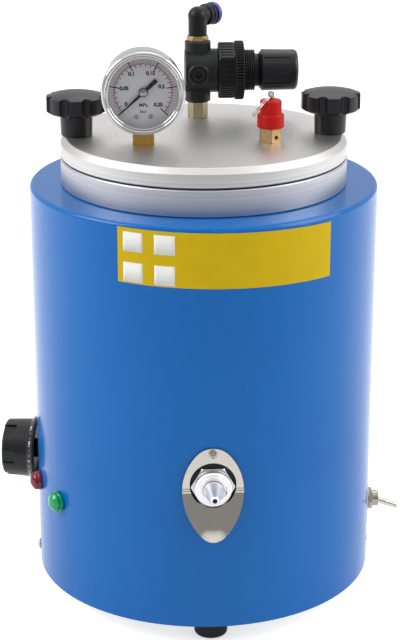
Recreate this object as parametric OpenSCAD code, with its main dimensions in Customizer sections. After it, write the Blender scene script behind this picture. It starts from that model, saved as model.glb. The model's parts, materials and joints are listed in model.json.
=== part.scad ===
// Jewelry wax injector: a heated pressure pot in a round steel drum.
// +Z is up, the drum's axis is the Z axis and the feet stand on z = 0.
// The nozzle faces -Y. An azimuth is counted from -Y towards +X.

/* [Drum] */
// Outside diameter of the drum
drum_d = 240; // [220:5:280]
// Height of the drum, without the feet
drum_h = 283; // [260:5:320]
// Thickness of the drum's sheet steel
sheet_t = 1.5; // [1:0.5:2.5]
// Outside rounding of the edge between wall and deck
deck_round = 2.8; // [2.6:0.2:6]
// Diameter of a rubber foot
foot_d = 23; // [18:1:30]
// Height of a rubber foot
foot_h = 15; // [12:1:22]
// Number of feet, one of them under the nozzle
foot_count = 3; // [3:1:6]
// Radius of the circle that the feet stand on
foot_ring_r = 99; // [85:1:102]
// Height of the base plate's upturned rim
base_rim_h = 14; // [12:1:20]
// Height of the base screws above the drum's lower edge
base_screw_up = 7; // [5:0.5:9]

/* [Pot] */
// How far the pot's rim stands out past the lid
rim_over = 0.2; // [0:0.1:2]
// How far the studs stand inwards of the rim's middle
stud_offset = 0.2; // [0:0.1:1]
// Height of the rim above the deck
rim_h = 18.3; // [16:0.1:24]
// Inside diameter of the pot
pot_bore_d = 152; // [130:1:152]
// Thickness of the pot's wall and floor
pot_wall = 6; // [4:0.5:7]
// Height of the nozzle's axis above the pot's floor
sump_depth = 11.7; // [11:0.1:18]
// Thickness of the flat seal between pot and lid
seal_t = 1; // [0.8:0.1:2]
// Height of the heater band
band_h = 80; // [40:5:110]

/* [Lid] */
// Diameter of the lid
lid_d = 196.4; // [190:0.2:204]
// Thickness of the lid
lid_t = 13; // [10:0.5:18]
// Chamfer of the lid's upper edge
lid_chamfer = 3.8; // [1:0.2:5]
// Radius of the three ports in the lid
port_r = 50; // [44:0.5:54]
// Azimuth of the pressure gauge's port
gauge_az = -57; // [-65:1:-50]
// Azimuth of the relief valve's port
relief_az = 61; // [50:0.5:70]
// Azimuth of the regulator's port
regulator_az = -178; // [-185:1:-172]

/* [Star knobs] */
// Diameter over the lobes
star_d = 40.5; // [36:0.5:50]
// Number of lobes
star_lobes = 8; // [6:1:10]
// Thickness of the lobed head
star_t = 11.7; // [9:0.1:15]
// Rise of the head's domed top
star_dome = 3.4; // [2:0.1:5]
// Diameter of the knob's hub
hub_d = 21.5; // [16:0.5:26]
// Height of the hub between lid and head
hub_h = 15.5; // [10:0.5:22]
// Diameter of the knob's threaded stud
stud_d = 10; // [8:1:12]

/* [Gauge] */
// Diameter of the bezel
bezel_d = 55.8; // [50:0.2:62]
// Width of the bezel's front ring
bezel_w = 4.7; // [3:0.1:6]
// Depth of the case behind the glass
case_depth = 23; // [20:0.5:30]
// Height of the dial's centre above the lid
gauge_up = 37; // [35:0.5:50]
// Length of the needle from its centre to its tip
needle_len = 21.5; // [14:0.5:22]
// Width of the stem's square brass block
stem_w = 14.2; // [13:0.1:16]

/* [Regulator] */
// Height of the regulator's axis above the lid
reg_up = 33.4; // [30:0.1:42]
// Diameter of the body's upright column
column_d = 18.4; // [16:0.1:22]
// Height of the column
column_h = 43; // [38:1:50]
// Diameter of the body's barrel
barrel_d = 30.6; // [24:0.1:34]
// Distance from the column's axis to the bonnet
bonnet_x = 14.3; // [12:0.1:18]
// Length of the six-sided bonnet
bonnet_len = 11.5; // [9:0.5:16]
// Width across the bonnet's flats
bonnet_af = 34.6; // [34:0.1:40]
// Diameter of the ribbed ring nut
ring_nut_d = 41.3; // [38:0.1:46]
// Width of the ring nut
ring_nut_w = 6.4; // [5:0.1:8]
// Diameter of the panel thread
panel_thread_d = 29; // [26:0.1:32]
// Length of the panel thread outside the ring nut
panel_thread_len = 7.6; // [5:0.1:12]
// Diameter of the adjusting knob
reg_knob_d = 29.2; // [25:0.1:34]
// Length of the adjusting knob
reg_knob_len = 28.7; // [20:0.1:36]
// Rise of the knob's domed end
reg_knob_dome = 1; // [0.5:0.1:3]
// Width across flats of the elbow's brass hexagon
hex_af = 13.5; // [13:0.1:17]

/* [Hose elbow] */
// Outside diameter of the hose that plugs in
hose_d = 8; // [6:1:8]
// Diameter of the elbow's upright leg
elbow_d = 13; // [12:0.1:14]
// Height of the elbow's branch above the regulator
branch_up = 17; // [14:0.1:22]
// Length of the elbow's branch
branch_len = 13.3; // [13:0.1:20]
// Direction of the branch, from +X towards +Y
branch_turn = 46; // [0:1:90]
// Diameter of the release ring
release_d = 15.8; // [14:0.1:17]
// Travel of the release ring
release_travel = 1; // [0.6:0.1:1.5]

/* [Relief valve] */
// Height of the brass body above the lid
relief_body_h = 9.5; // [8.5:0.1:14]
// Width across flats of the brass body
valve_af = 14; // [13.5:0.1:16]
// Diameter of the red collar
collar_d = 18.2; // [17:0.1:22]
// Height of the red collar
collar_h = 9.5; // [7:0.1:12]
// Diameter of the red cap
cap_d = 14.7; // [13:0.1:15]
// Height of the red cap above its collar
cap_h = 9.4; // [8:0.1:12]
// Lift of the valve's pin
relief_lift = 3; // [1.5:0.1:3]
// Outside diameter of the pull ring
pull_ring_d = 19.6; // [19:0.1:24]
// Wire thickness of the pull ring
pull_wire = 0.8; // [0.7:0.05:0.9]

/* [Nozzle] */
// Height of the nozzle's axis above the floor
nozzle_z = 120; // [118:1:132]
// Distance from the drum's axis to the nozzle's tip
nozzle_reach = 144; // [140:0.5:150]
// Diameter of the wax outlet
outlet_d = 3.3; // [1.5:0.1:4]
// Travel of the nozzle when a mould is pressed on
nozzle_travel = 3; // [1:0.1:3]
// Width across flats of the nozzle's hexagon
nozzle_af = 26; // [22:0.5:26]
// Diameter of the nozzle's round flange
flange_d = 24.4; // [20:0.1:26]
// Width of the drip plate
plate_w = 41; // [38:0.5:48]
// Height of the drip plate above the nozzle's axis
plate_up = 27.4; // [26:0.1:32]
// Length of the drip plate's lower wing
wing_len = 36; // [30:0.5:44]
// Outward tilt of the drip plate's lower wing
wing_tilt = 18; // [8:1:25]
// Diameter of the hole in the drip plate
plate_hole_d = 31; // [28:0.5:32]

/* [Controls] */
// Height of the thermostat's axis above the floor
thermostat_z = 89.5; // [80:0.5:95]
// Azimuth of the thermostat
thermostat_az = -100; // [-104:1:-100]
// Diameter of the thermostat knob's skirt
skirt_d = 52; // [46:0.5:54]
// Diameter of the thermostat knob's grip
grip_d = 42.8; // [36:0.1:44]
// Distance of the knob's outer face from the drum
grip_out = 26; // [20:0.5:30]
// Height of both pilot lights above the floor
pilot_z = 84; // [70:1:95]
// Azimuth of the green pilot light
green_az = -59.7; // [-66:0.1:-55]
// Azimuth of the red pilot light
red_az = -78.5; // [-81:0.1:-75]
// Diameter of a pilot light's lens
lens_d = 14; // [12:0.5:16]
// Height of the toggle switch above the floor
toggle_z = 53.2; // [44:0.1:70]
// Azimuth of the toggle switch
toggle_az = 90; // [84:1:96]
// Length of the toggle's lever from its pivot
lever_len = 21.5; // [14:0.5:24]
// Swing of the lever to either side of the middle
lever_swing = 19; // [8:1:20]
// Diameter of the hole that the mains lead passes
lead_hole_d = 8; // [6:0.5:9]
// Height of the cable gland above the floor
gland_z = 45; // [38:1:60]

/* [Fits] */
// Gap all round a turning shaft
run_gap = 0.06; // [0.03:0.01:0.1]
// Gap all round a screwed or pressed-in piece
seat_gap = 0.1; // [0.05:0.05:0.2]
// Gap between pieces that pass each other freely
free_gap = 0.35; // [0.3:0.05:0.5]

/* [Hidden] */

$fn = 96;
e = 0.01;

blue = "#2a68b4";
aluminium = "#c9cccf";
steel = "#b9bcc0";
brass = "#c8a14e";
black = "#222326";
red = "#cf2a2a";

drum_r = drum_d / 2;
drum_top = foot_h + drum_h;
rim_r = lid_d / 2 + rim_over;
rim_top = drum_top + rim_h;
lid_z = rim_top + seal_t;
lid_top = lid_z + lid_t;
pot_r = pot_bore_d / 2;
knob_ring_r = (pot_r + rim_r) / 2 - stud_offset;
pot_out_r = pot_r + pot_wall;
pot_floor_z = nozzle_z - sump_depth;
deck_hole_r = pot_out_r + 2;
base_top = foot_h + sheet_t;
inner_r = drum_r - sheet_t;

// Places a child on the drum's wall, its +Z pointing outwards and its +Y up.
module on_wall(az, z) {
    rotate([0, 0, az])
        translate([0, -drum_r, z])
            rotate([90, 0, 0])
                children();
}

// Places a child at radius r and azimuth az, unturned towards the axis.
module at_port(az, r, z) {
    translate([r * sin(az), -r * cos(az), z])
        children();
}

module tube(r, bore_r, h) {
    difference() {
        cylinder(r = r, h = h);
        translate([0, 0, -e])
            cylinder(r = bore_r, h = h + 2 * e);
    }
}

// A cylinder with both end edges chamfered by c.
module chamfered(r, h, c) {
    rotate_extrude()
        polygon([[0, 0], [r - c, 0], [r, c], [r, h - c], [r - c, h], [0, h]]);
}

module hexagon(af, h) {
    intersection() {
        cylinder(d = af / cos(30), h = h, $fn = 6);
        chamfered(af / cos(30) / 2 - 0.1, h, 0.6);
    }
}

/* Drum and base */

plate_r = inner_r - 0.3;
base_screw_r = 2;
base_screw_z = foot_h + base_screw_up;
foot_screw_r = 2;
blanket_top = drum_top - 8;

module drum_outline(inset) {
    r = drum_r - inset;
    h = drum_h - inset;
    c = deck_round - inset;
    translate([0, foot_h]) {
        square([r, h - c]);
        square([r - c, h]);
        translate([r - c, h - c])
            circle(r = c);
    }
}

module outer_shell() {
    color(blue)
    difference() {
        rotate_extrude()
            difference() {
                drum_outline(0);
                translate([-e, 0])
                    drum_outline(sheet_t);
                translate([-1, foot_h - 1])
                    square([deck_hole_r + 1, drum_h + 2]);
                translate([-1, foot_h - 1])
                    square([inner_r + 1, 1 + e]);
            }
        on_wall(0, nozzle_z)
            wall_hole(barrel_r + free_gap);
        on_wall(0, nozzle_z + plate_screw_up)
            wall_hole(plate_screw_r + seat_gap);
        on_wall(thermostat_az, thermostat_z)
            wall_hole(bushing_r + seat_gap);
        on_wall(green_az, pilot_z)
            wall_hole(lens_stem_r + seat_gap);
        on_wall(red_az, pilot_z)
            wall_hole(lens_stem_r + seat_gap);
        on_wall(toggle_az, toggle_z)
            wall_hole(toggle_thread_r + seat_gap);
        on_wall(180, gland_z)
            wall_hole(gland_thread_r + seat_gap);
        for (az = [-90, 90, 180])
            on_wall(az, base_screw_z)
                wall_hole(base_screw_r + seat_gap);
        for (az = [45:90:315])
            at_port(az, rim_screw_ring_r, drum_top - 2 * sheet_t)
                cylinder(r = rim_screw_r + seat_gap, h = 3 * sheet_t);
    }
}

module wall_hole(r) {
    translate([0, 0, -3 * sheet_t])
        cylinder(r = r, h = 6 * sheet_t);
}

// A dished plate that closes the drum, with a ring of slots for cooling air.
module base_plate() {
    slot_r = 62;
    slot_w = 4;
    color(steel)
    difference() {
        translate([0, 0, foot_h])
            chamfered(plate_r, base_rim_h, 0.6);
        translate([0, 0, base_top])
            cylinder(r = plate_r - sheet_t, h = base_rim_h);
        for (i = [0:foot_count - 1])
            at_port(i * 360 / foot_count, foot_ring_r, foot_h - 1)
                cylinder(r = foot_screw_r + seat_gap, h = 4 * sheet_t);
        for (az = [-90, 90, 180])
            on_wall(az, base_screw_z)
                wall_hole(base_screw_r + seat_gap);
        for (i = [0:15])
            rotate([0, 0, i * 22.5])
                translate([slot_r - 14, -slot_w / 2, foot_h - 1])
                    cube([28, slot_w, 4 * sheet_t]);
    }
}

// Pan-head screw along +Z: the head stands above z = 0, the shank hangs below.
module pan_screw(head_r, head_h, shank_r, length) {
    difference() {
        union() {
            translate([0, 0, -length])
                cylinder(r = shank_r, h = length + e);
            intersection() {
                cylinder(r = head_r, h = head_h);
                translate([0, 0, head_h - head_r * 1.6])
                    sphere(r = head_r * 1.6);
            }
        }
        for (a = [0, 90])
            rotate([0, 0, a])
                translate([-head_r * 0.55, -head_r * 0.11, head_h * 0.45])
                    cube([head_r * 1.1, head_r * 0.22, head_h]);
    }
}

base_head_r = 3.8;
base_head_h = 2.2;
base_screw_len = 8;

module shell_screws() {
    color(steel)
    for (az = [-90, 90, 180])
        on_wall(az, base_screw_z)
            translate([0, 0, 0.1])
                pan_screw(base_head_r, base_head_h, base_screw_r, base_screw_len);
}

foot_pocket_r = 5;
foot_pocket_h = 6;

module feet() {
    r = foot_d / 2;
    color(black)
    for (i = [0:foot_count - 1])
        at_port(i * 360 / foot_count, foot_ring_r, 0)
            rotate_extrude()
                difference() {
                    union() {
                        translate([0, 2.5])
                            square([r, foot_h - 2.5]);
                        square([r - 2.5, foot_h]);
                        translate([r - 2.5, 2.5])
                            circle(r = 2.5);
                    }
                    translate([-1, -1])
                        square([foot_pocket_r + 1, foot_pocket_h + 1]);
                    translate([-1, -1])
                        square([foot_screw_r + seat_gap + 1, foot_h + 2]);
                    translate([-foot_d, -1])
                        square([foot_d, foot_h + 2]);
                }
}

module foot_screws() {
    shank = foot_h - foot_pocket_h + sheet_t + 6;
    color(steel)
    for (i = [0:foot_count - 1])
        at_port(i * 360 / foot_count, foot_ring_r, 0) {
            translate([0, 0, foot_pocket_h])
                mirror([0, 0, 1])
                    pan_screw(foot_pocket_r - 0.8, 2.6, foot_screw_r, shank);
            translate([0, 0, base_top])
                difference() {
                    cylinder(d = 8, h = 3.2, $fn = 6);
                    translate([0, 0, -e])
                        cylinder(r = foot_screw_r + seat_gap, h = 3.2 + 2 * e);
                }
        }
}

/* Pot */

rim_screw_ring_r = 91.5;
rim_screw_r = 2.5;
stud_r = stud_d / 2;
stud_depth = 14;
outlet_r = 14;
boss_out = pot_out_r + 8;

// One aluminium casting: rim, straight wall, rounded floor and outlet boss.
module wax_pot() {
    floor_round = 8;
    color(aluminium)
    difference() {
        union() {
            rotate_extrude()
                difference() {
                    pot_outline(pot_out_r, pot_floor_z - pot_wall, floor_round + pot_wall);
                    pot_outline(pot_r, pot_floor_z, floor_round);
                }
            translate([0, 0, drum_top])
                difference() {
                    chamfered(rim_r, rim_h, 0.8);
                    translate([0, 0, -1])
                        cylinder(r = pot_out_r - 1, h = rim_h + 2);
                }
            translate([0, -pot_r - pot_wall / 2, nozzle_z])
                rotate([90, 0, 0])
                    cylinder(r = outlet_r, h = boss_out - pot_r - pot_wall / 2);
        }
        translate([0, -pot_r + 6, nozzle_z])
            rotate([90, 0, 0])
                cylinder(r = tail_r + seat_gap, h = boss_out);
        for (side = [-1, 1])
            translate([side * knob_ring_r, 0, rim_top - stud_depth - 2])
                cylinder(r = stud_r + free_gap, h = stud_depth + 3);
        for (az = [45:90:315])
            at_port(az, rim_screw_ring_r, drum_top - 1)
                cylinder(r = rim_screw_r + seat_gap, h = 11);
    }
}

// Half section of the pot's wall, from z up to the rim's top.
module pot_outline(r, z, c) {
    translate([0, z]) {
        translate([0, c])
            square([r, rim_top - z - c]);
        square([r - c, rim_top - z]);
        intersection() {
            translate([r - c, c])
                circle(r = c);
            square([r, 2 * c]);
        }
    }
}

module rim_screws() {
    color(steel)
    for (az = [45:90:315])
        at_port(az, rim_screw_ring_r, drum_top - sheet_t)
            mirror([0, 0, 1])
                pan_screw(4.6, 3, rim_screw_r, 9 + sheet_t);
}

module lid_gasket() {
    color(black)
    difference() {
        translate([0, 0, rim_top])
            tube(rim_r - 0.8, pot_r + 0.5, seal_t);
        for (side = [-1, 1])
            translate([side * knob_ring_r, 0, rim_top - 1])
                cylinder(r = stud_r + 0.8, h = seal_t + 2);
    }
}

band_z = nozzle_z + 32;
band_r = pot_out_r + 0.2;

// A split band heater with its clamp ears and screw behind, and two terminals.
module heater_band() {
    ear_x = 5;
    ear_h = 12;
    color("#a9a39a")
    difference() {
        union() {
            translate([0, 0, band_z])
                tube(band_r + 2.2, band_r, band_h);
            for (z = [band_z + 10, band_z + band_h - 10 - ear_h]) {
                for (side = [-1, 1])
                    translate([side * ear_x - 1, band_r + 0.8, z])
                        cube([2, 8, ear_h]);
                translate([-10, band_r + 6, z + ear_h / 2])
                    rotate([0, 90, 0])
                        cylinder(r = 1.8, h = 20);
            }
            for (side = [-1, 1])
                rotate([0, 0, side * 12 - 90])
                    translate([band_r + 1, 0, band_z + band_h / 2])
                        rotate([0, 90, 0])
                            cylinder(r = 2, h = 8);
        }
        translate([-ear_x + 1, band_r - 2, band_z - 1])
            cube([2 * ear_x - 2, 6, band_h + 2]);
    }
}

// Ceramic-fibre blanket between the heater band and the drum.
module insulation_blanket() {
    color("#d9d4c4")
    translate([0, 0, band_z - 10])
        tube(inner_r - 4, band_r + 9.3, blanket_top - band_z + 10);
}

/* Nozzle, measured outwards from the drum's axis */

tail_r = 7.8;
barrel_r = 9.5;
hex_back = drum_r + 0.2;
hex_front = hex_back + 1.6;
collar_front = hex_front + 5.9;
chamber_r = 6.3;
chamber_back = drum_r - 22;
tip_stem_r = 4;
shoulder_r = 5.8;
shoulder_front = drum_r - 6;
cone_r = 6.9;
cone_tip_r = 2.5;

// Places a child on the nozzle's axis at distance s from the drum's axis.
module on_nozzle(s) {
    translate([0, -s, nozzle_z])
        rotate([90, 0, 0])
            children();
}

module nozzle_housing() {
    color(steel)
    difference() {
        union() {
            on_nozzle(pot_r + 1)
                cylinder(r = tail_r, h = boss_out - pot_r);
            on_nozzle(boss_out)
                cylinder(r = barrel_r, h = hex_front - boss_out - 1);
            on_nozzle(hex_back)
                hexagon(nozzle_af, hex_front - hex_back);
        }
        on_nozzle(pot_r)
            cylinder(r = 3, h = chamber_back);
        on_nozzle(chamber_back)
            cylinder(r = chamber_r, h = hex_front);
    }
}

// Flanged collar: a raised ring round the cone, with one narrow spanner slot.
module nozzle_collar() {
    flange_r = flange_d / 2;
    flange_t = collar_front - hex_front;
    flange_step_r = cone_r + 2.4;
    slot_h = 5;
    color(steel)
    difference() {
        union() {
            on_nozzle(shoulder_front)
                cylinder(r = chamber_r - seat_gap, h = collar_front - shoulder_front);
            on_nozzle(hex_front)
                rotate_extrude()
                    polygon([[0, 0], [flange_r - 0.5, 0], [flange_r, 0.5],
                        [flange_r, flange_t - 1.6], [flange_r - 1, flange_t - 0.6],
                        [flange_step_r + 0.6, flange_t - 0.6],
                        [flange_step_r, flange_t], [0, flange_t]]);
        }
        on_nozzle(shoulder_front - 1)
            cylinder(r = tip_stem_r + run_gap, h = 30);
        on_nozzle(collar_front - nozzle_travel - 0.4)
            cylinder(r = cone_r + free_gap, h = 10);
        on_nozzle(collar_front - 1.6)
            translate([cone_r + 0.9, -slot_h / 2, 0])
                cube([1.1, slot_h, 3]);
    }
}

module nozzle_tip() {
    stem_back = chamber_back + 5;
    cone_len = nozzle_reach - collar_front;
    color(steel)
    difference() {
        union() {
            on_nozzle(stem_back)
                cylinder(r = tip_stem_r, h = collar_front - stem_back + e);
            on_nozzle(shoulder_front - 3)
                cylinder(r = shoulder_r, h = 3);
            on_nozzle(collar_front)
                rotate_extrude()
                    polygon([[0, 0], [cone_r, 0], [cone_r, 1.2],
                        [cone_tip_r + 0.6, cone_len - 0.8],
                        [cone_tip_r, cone_len], [0, cone_len]]);
        }
        on_nozzle(stem_back + 3)
            cylinder(d = outlet_d, h = nozzle_reach);
        on_nozzle(stem_back + 4.6)
            translate([-cone_r, 0, 0])
                rotate([0, 90, 0])
                    cylinder(d = outlet_d * 0.8, h = 2 * cone_r);
    }
}

module nozzle_spring() {
    back = chamber_back + nozzle_travel + 0.3;
    color(steel)
    on_nozzle(back)
        tube(shoulder_r, tip_stem_r + seat_gap, shoulder_front - 3 - back);
}

plate_t = 1.2;
plate_back = 0.3;
crease_down = 2.7;
crease_bead_r = 1.7;
plate_hole_up = 1.6;
plate_tip_r = 14.5;
wing_tip_r = 8;
plate_screw_r = 1.5;
plate_screw_up = plate_up - 3.7;

// Half of a pointed oval: widest at y = 0, its rounded tip at y = length.
module leaf(half_w, length, tip_r) {
    c = length - tip_r;
    r = (half_w * half_w + c * c - tip_r * tip_r) / (2 * (half_w - tip_r));
    translate([0, c])
        circle(r = tip_r);
    intersection() {
        translate([r - half_w, 0])
            circle(r = r);
        translate([half_w - r, 0])
            circle(r = r);
        translate([-half_w, 0])
            square([2 * half_w, c * r / (r - tip_r)]);
    }
}

// Polished drip plate: an upright upper half, a beaded crease beside the
// nozzle, and a pointed wing that leans out.
module drip_plate() {
    half_w = plate_w / 2;
    color("#c4c8cc")
    difference() {
        on_wall(0, nozzle_z - crease_down)
            translate([0, 0, plate_back]) {
                linear_extrude(plate_t)
                    leaf(half_w, plate_up + crease_down, plate_tip_r);
                rotate([-wing_tilt, 0, 0])
                    linear_extrude(plate_t)
                        union() {
                            mirror([0, 1])
                                leaf(half_w, wing_len, wing_tip_r);
                            translate([-half_w, -e])
                                square([2 * half_w, 0.3 + e]);
                        }
                translate([-half_w, 0, plate_t])
                    rotate([0, 90, 0])
                        cylinder(r = crease_bead_r, h = plate_w);
            }
        on_wall(0, nozzle_z + plate_hole_up)
            translate([0, 0, -5])
                cylinder(d = plate_hole_d, h = 30);
        on_wall(0, nozzle_z + plate_screw_up)
            wall_hole(plate_screw_r + seat_gap);
    }
}

module drip_plate_screw() {
    color(steel)
    on_wall(0, nozzle_z + plate_screw_up)
        translate([0, 0, plate_back + plate_t])
            pan_screw(3.1, 1.8, plate_screw_r, 5);
}

/* Thermostat */

bushing_r = 5;
shaft_r = 3;
body_w = skirt_d - 16;
body_h = body_w + 2;
body_face = -3.4;
body_deep = 28;
bulb_ring_r = pot_out_r + 3.3;

module thermostat_body() {
    color("#d8d2c2")
    on_wall(thermostat_az, thermostat_z)
        difference() {
            union() {
                translate([-body_w / 2, -body_h / 2, body_face - body_deep])
                    cube([body_w, body_h, body_deep]);
                translate([0, 0, body_face - e])
                    cylinder(r = bushing_r, h = -body_face + 0.4);
            }
            translate([0, 0, shaft_low - 1])
                cylinder(r = shaft_r + run_gap, h = 1 - shaft_low + 2);
        }
}

// Sensing bulb beside the pot, with the short capillary down to the body.
module thermostat_bulb() {
    low = thermostat_z + body_h / 2;
    bare = 6;
    color(brass)
    at_port(thermostat_az, bulb_ring_r, low) {
        cylinder(r = 0.9, h = bare + 2);
        translate([0, 0, bare])
            chamfered(3, band_z - low - bare - 2, 0.8);
    }
}

knob_back = 1;
skirt_h = 7;
shaft_low = body_face - 9;

module thermostat_shaft() {
    color(steel)
    on_wall(thermostat_az, thermostat_z)
        translate([0, 0, shaft_low])
            cylinder(r = shaft_r, h = grip_out - 6 - shaft_low);
}

// Moulded knob: a coned skirt for the scale, and a grip with broad notches
// round its outer end. It is hollow behind.
module thermostat_knob() {
    skirt_r = skirt_d / 2;
    grip_r = grip_d / 2;
    notches = 6;
    notch_w = grip_r * 0.44;
    notch_h = grip_out * 0.36;
    notch_in = 2.8;
    color(black)
    on_wall(thermostat_az, thermostat_z)
        difference() {
            rotate_extrude()
                polygon([[0, knob_back], [skirt_r - 0.4, knob_back],
                    [skirt_r, knob_back + 1.4], [grip_r + 0.4, skirt_h],
                    [grip_r, skirt_h + 0.4], [grip_r - 0.8, grip_out - 1.2],
                    [grip_r - 2, grip_out], [0, grip_out]]);
            translate([0, 0, knob_back - 1])
                tube(skirt_r - 2.5, 7, 4.5);
            translate([0, 0, -1])
                cylinder(r = shaft_r + seat_gap, h = grip_out - 4.5);
            for (i = [0:notches - 1])
                rotate([0, 0, i * 360 / notches])
                    translate([grip_r - notch_in, -notch_w / 2, grip_out - notch_h])
                        cube([notch_in + 1, notch_w, notch_h + 1]);
            translate([0, 0, grip_out - 1])
                cylinder(r = grip_r - 5, h = 2);
        }
}

/* Pilot lights */

lens_stem_r = 4.6;
lens_base = 0.3;

module pilot_lens(az, tint) {
    r = lens_d / 2;
    color(tint)
    on_wall(az, pilot_z) {
        translate([0, 0, -2.6])
            cylinder(r = lens_stem_r, h = 2.6 + lens_base + 1);
        translate([0, 0, lens_base])
            chamfered(r, 2.2, 0.4);
        intersection() {
            translate([0, 0, lens_base + 2])
                cylinder(r = r - 0.3, h = 7, $fn = 12);
            translate([0, 0, lens_base + 7.6 - r * 1.15])
                sphere(r = r * 1.15);
        }
    }
}

module green_pilot_lens() {
    pilot_lens(green_az, "#1fb35a");
}

module red_pilot_lens() {
    pilot_lens(red_az, "#c8202a");
}

lamp_deep = 28;
lamp_body_h = 25;
lamp_nut_back = 6.4;
lamp_nut_h = 3.4;
lamp_nut_w = 2;

module pilot_lamp_bodies() {
    lamp_r = lens_d * 0.4;
    color(black)
    for (az = [green_az, red_az])
        on_wall(az, pilot_z) {
            translate([0, 0, -lamp_deep])
                chamfered(lamp_r, lamp_body_h, 0.5);
            translate([0, 0, -lamp_nut_back])
                tube(lamp_r + lamp_nut_w, lamp_r, lamp_nut_h);
        }
}

/* Toggle switch */

toggle_thread_r = 5.9;
toggle_mouth = 8.8;
toggle_pivot = 4;
lever_ball_r = 3.3;
lever_pin_r = 0.8;
lever_pin_half = 4.8;
legend_w = 18;
legend_h = 30;
legend_back = 0.05;
legend_t = 0.7;

// Legend plate rolled to the drum's curve.
module toggle_plate() {
    color("#c4c8cc")
    intersection() {
        translate([0, 0, toggle_z - legend_h / 2])
            difference() {
                tube(drum_r + legend_back + legend_t, drum_r + legend_back, legend_h);
                rotate([0, 0, toggle_az - 90])
                    translate([drum_r, 0, legend_h / 2])
                        rotate([0, 90, 0])
                            cylinder(r = toggle_thread_r + seat_gap, h = 20, center = true);
            }
        on_wall(toggle_az, toggle_z)
            translate([-legend_w / 2, -legend_h / 2, -5])
                cube([legend_w, legend_h, 15]);
    }
}

case_w = 13;
case_h = 28;
case_face = -2.4;
case_deep = 21.6;
tab_w = 5;
tab_t = 1;
tab_len = 7;

module toggle_body() {
    color("#9da0a4")
    on_wall(toggle_az, toggle_z)
        difference() {
            union() {
                translate([-case_w / 2, -case_h / 2, case_face - case_deep])
                    cube([case_w, case_h, case_deep]);
                translate([0, 0, case_face - 0.6])
                    chamfered(toggle_thread_r, toggle_mouth - case_face + 0.6, 0.5);
                for (y = [-case_h / 3, 0, case_h / 3])
                    translate([-tab_w / 2, y - tab_t / 2, case_face - case_deep - tab_len])
                        cube([tab_w, tab_t, tab_len + 0.5]);
            }
            translate([0, 0, toggle_pivot - 4])
                cylinder(r = lever_ball_r + 0.3, h = 4 + e);
            translate([0, 0, toggle_pivot])
                cylinder(r1 = lever_ball_r + 0.3, r2 = toggle_thread_r - 1.2,
                    h = toggle_mouth - toggle_pivot + e);
            translate([0, 0, toggle_pivot])
                rotate([0, 90, 0])
                    cylinder(r = lever_pin_r + run_gap, h = 2 * lever_pin_half + 0.2,
                        center = true);
        }
}

module toggle_nut() {
    base = 0.9 + legend_back;
    color(steel)
    on_wall(toggle_az, toggle_z)
        difference() {
            union() {
                translate([0, 0, base])
                    cylinder(r = 8.2, h = 0.8);
                translate([0, 0, base + 0.8])
                    hexagon(14, 2.4);
            }
            translate([0, 0, -1])
                cylinder(r = toggle_thread_r + seat_gap, h = 10);
        }
}

// Round lever on its cross pin, drawn at rest, where it points down.
module toggle_lever() {
    lever_r = 2.3;
    color(steel)
    on_wall(toggle_az, toggle_z)
        translate([0, 0, toggle_pivot])
            rotate([lever_swing, 0, 0]) {
                sphere(r = lever_ball_r);
                rotate([0, 90, 0])
                    cylinder(r = lever_pin_r, h = 2 * lever_pin_half, center = true);
                cylinder(r1 = 1.8, r2 = lever_r, h = lever_len / 2);
                translate([0, 0, lever_len / 2 - e])
                    cylinder(r = lever_r, h = lever_len / 2 - lever_r + e);
                translate([0, 0, lever_len - lever_r])
                    sphere(r = lever_r - 0.005);
            }
}

/* Mains inlet */

gland_thread_r = 7.5;
gland_tail = 14;
gland_len = 29;
gland_af = 21;
gland_hex_h = 5;
gland_cap_r = 10.4;
gland_cap_h = 18.8;
gland_nut_af = 20;
gland_nut_h = 5;
lead_r = lead_hole_d / 2;

module cable_gland() {
    color(black)
    on_wall(180, gland_z)
        difference() {
            union() {
                translate([0, 0, -gland_tail])
                    cylinder(r = gland_thread_r, h = gland_len);
                translate([0, 0, 0.2])
                    hexagon(gland_af, gland_hex_h);
            }
            translate([0, 0, -gland_tail - 1])
                cylinder(r = lead_r + 0.5, h = gland_len + 2);
        }
}

module gland_cap() {
    color(black)
    on_wall(180, gland_z)
        difference() {
            translate([0, 0, gland_hex_h + 0.2])
                intersection() {
                    chamfered(gland_cap_r, gland_cap_h, 2.4);
                    cylinder(r = gland_cap_r / cos(15), h = gland_cap_h, $fn = 12);
                }
            translate([0, 0, gland_hex_h])
                cylinder(r = gland_thread_r + seat_gap, h = gland_len - gland_tail + 0.2 - gland_hex_h);
            cylinder(r = lead_r, h = gland_hex_h + gland_cap_h + 1);
        }
}

module gland_nut() {
    color(black)
    on_wall(180, gland_z)
        translate([0, 0, -gland_nut_h - 2.5])
            difference() {
                hexagon(gland_nut_af, gland_nut_h);
                translate([0, 0, -1])
                    cylinder(r = gland_thread_r + seat_gap, h = gland_nut_h + 2);
            }
}

module terminal_block() {
    way_w = 12;
    block_w = 16;
    color("#e8e4d8")
    translate([-3 * way_w / 2, pot_out_r - block_w - 6, base_top])
        difference() {
            cube([3 * way_w, block_w, block_w]);
            for (i = [0:2])
                translate([(i + 0.5) * way_w, -1, block_w / 2])
                    rotate([-90, 0, 0])
                        cylinder(r = 2.2, h = block_w + 2);
        }
}

/* Lid and its knobs */

thread_r = 6.4;
thread_len = 11;

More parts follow.
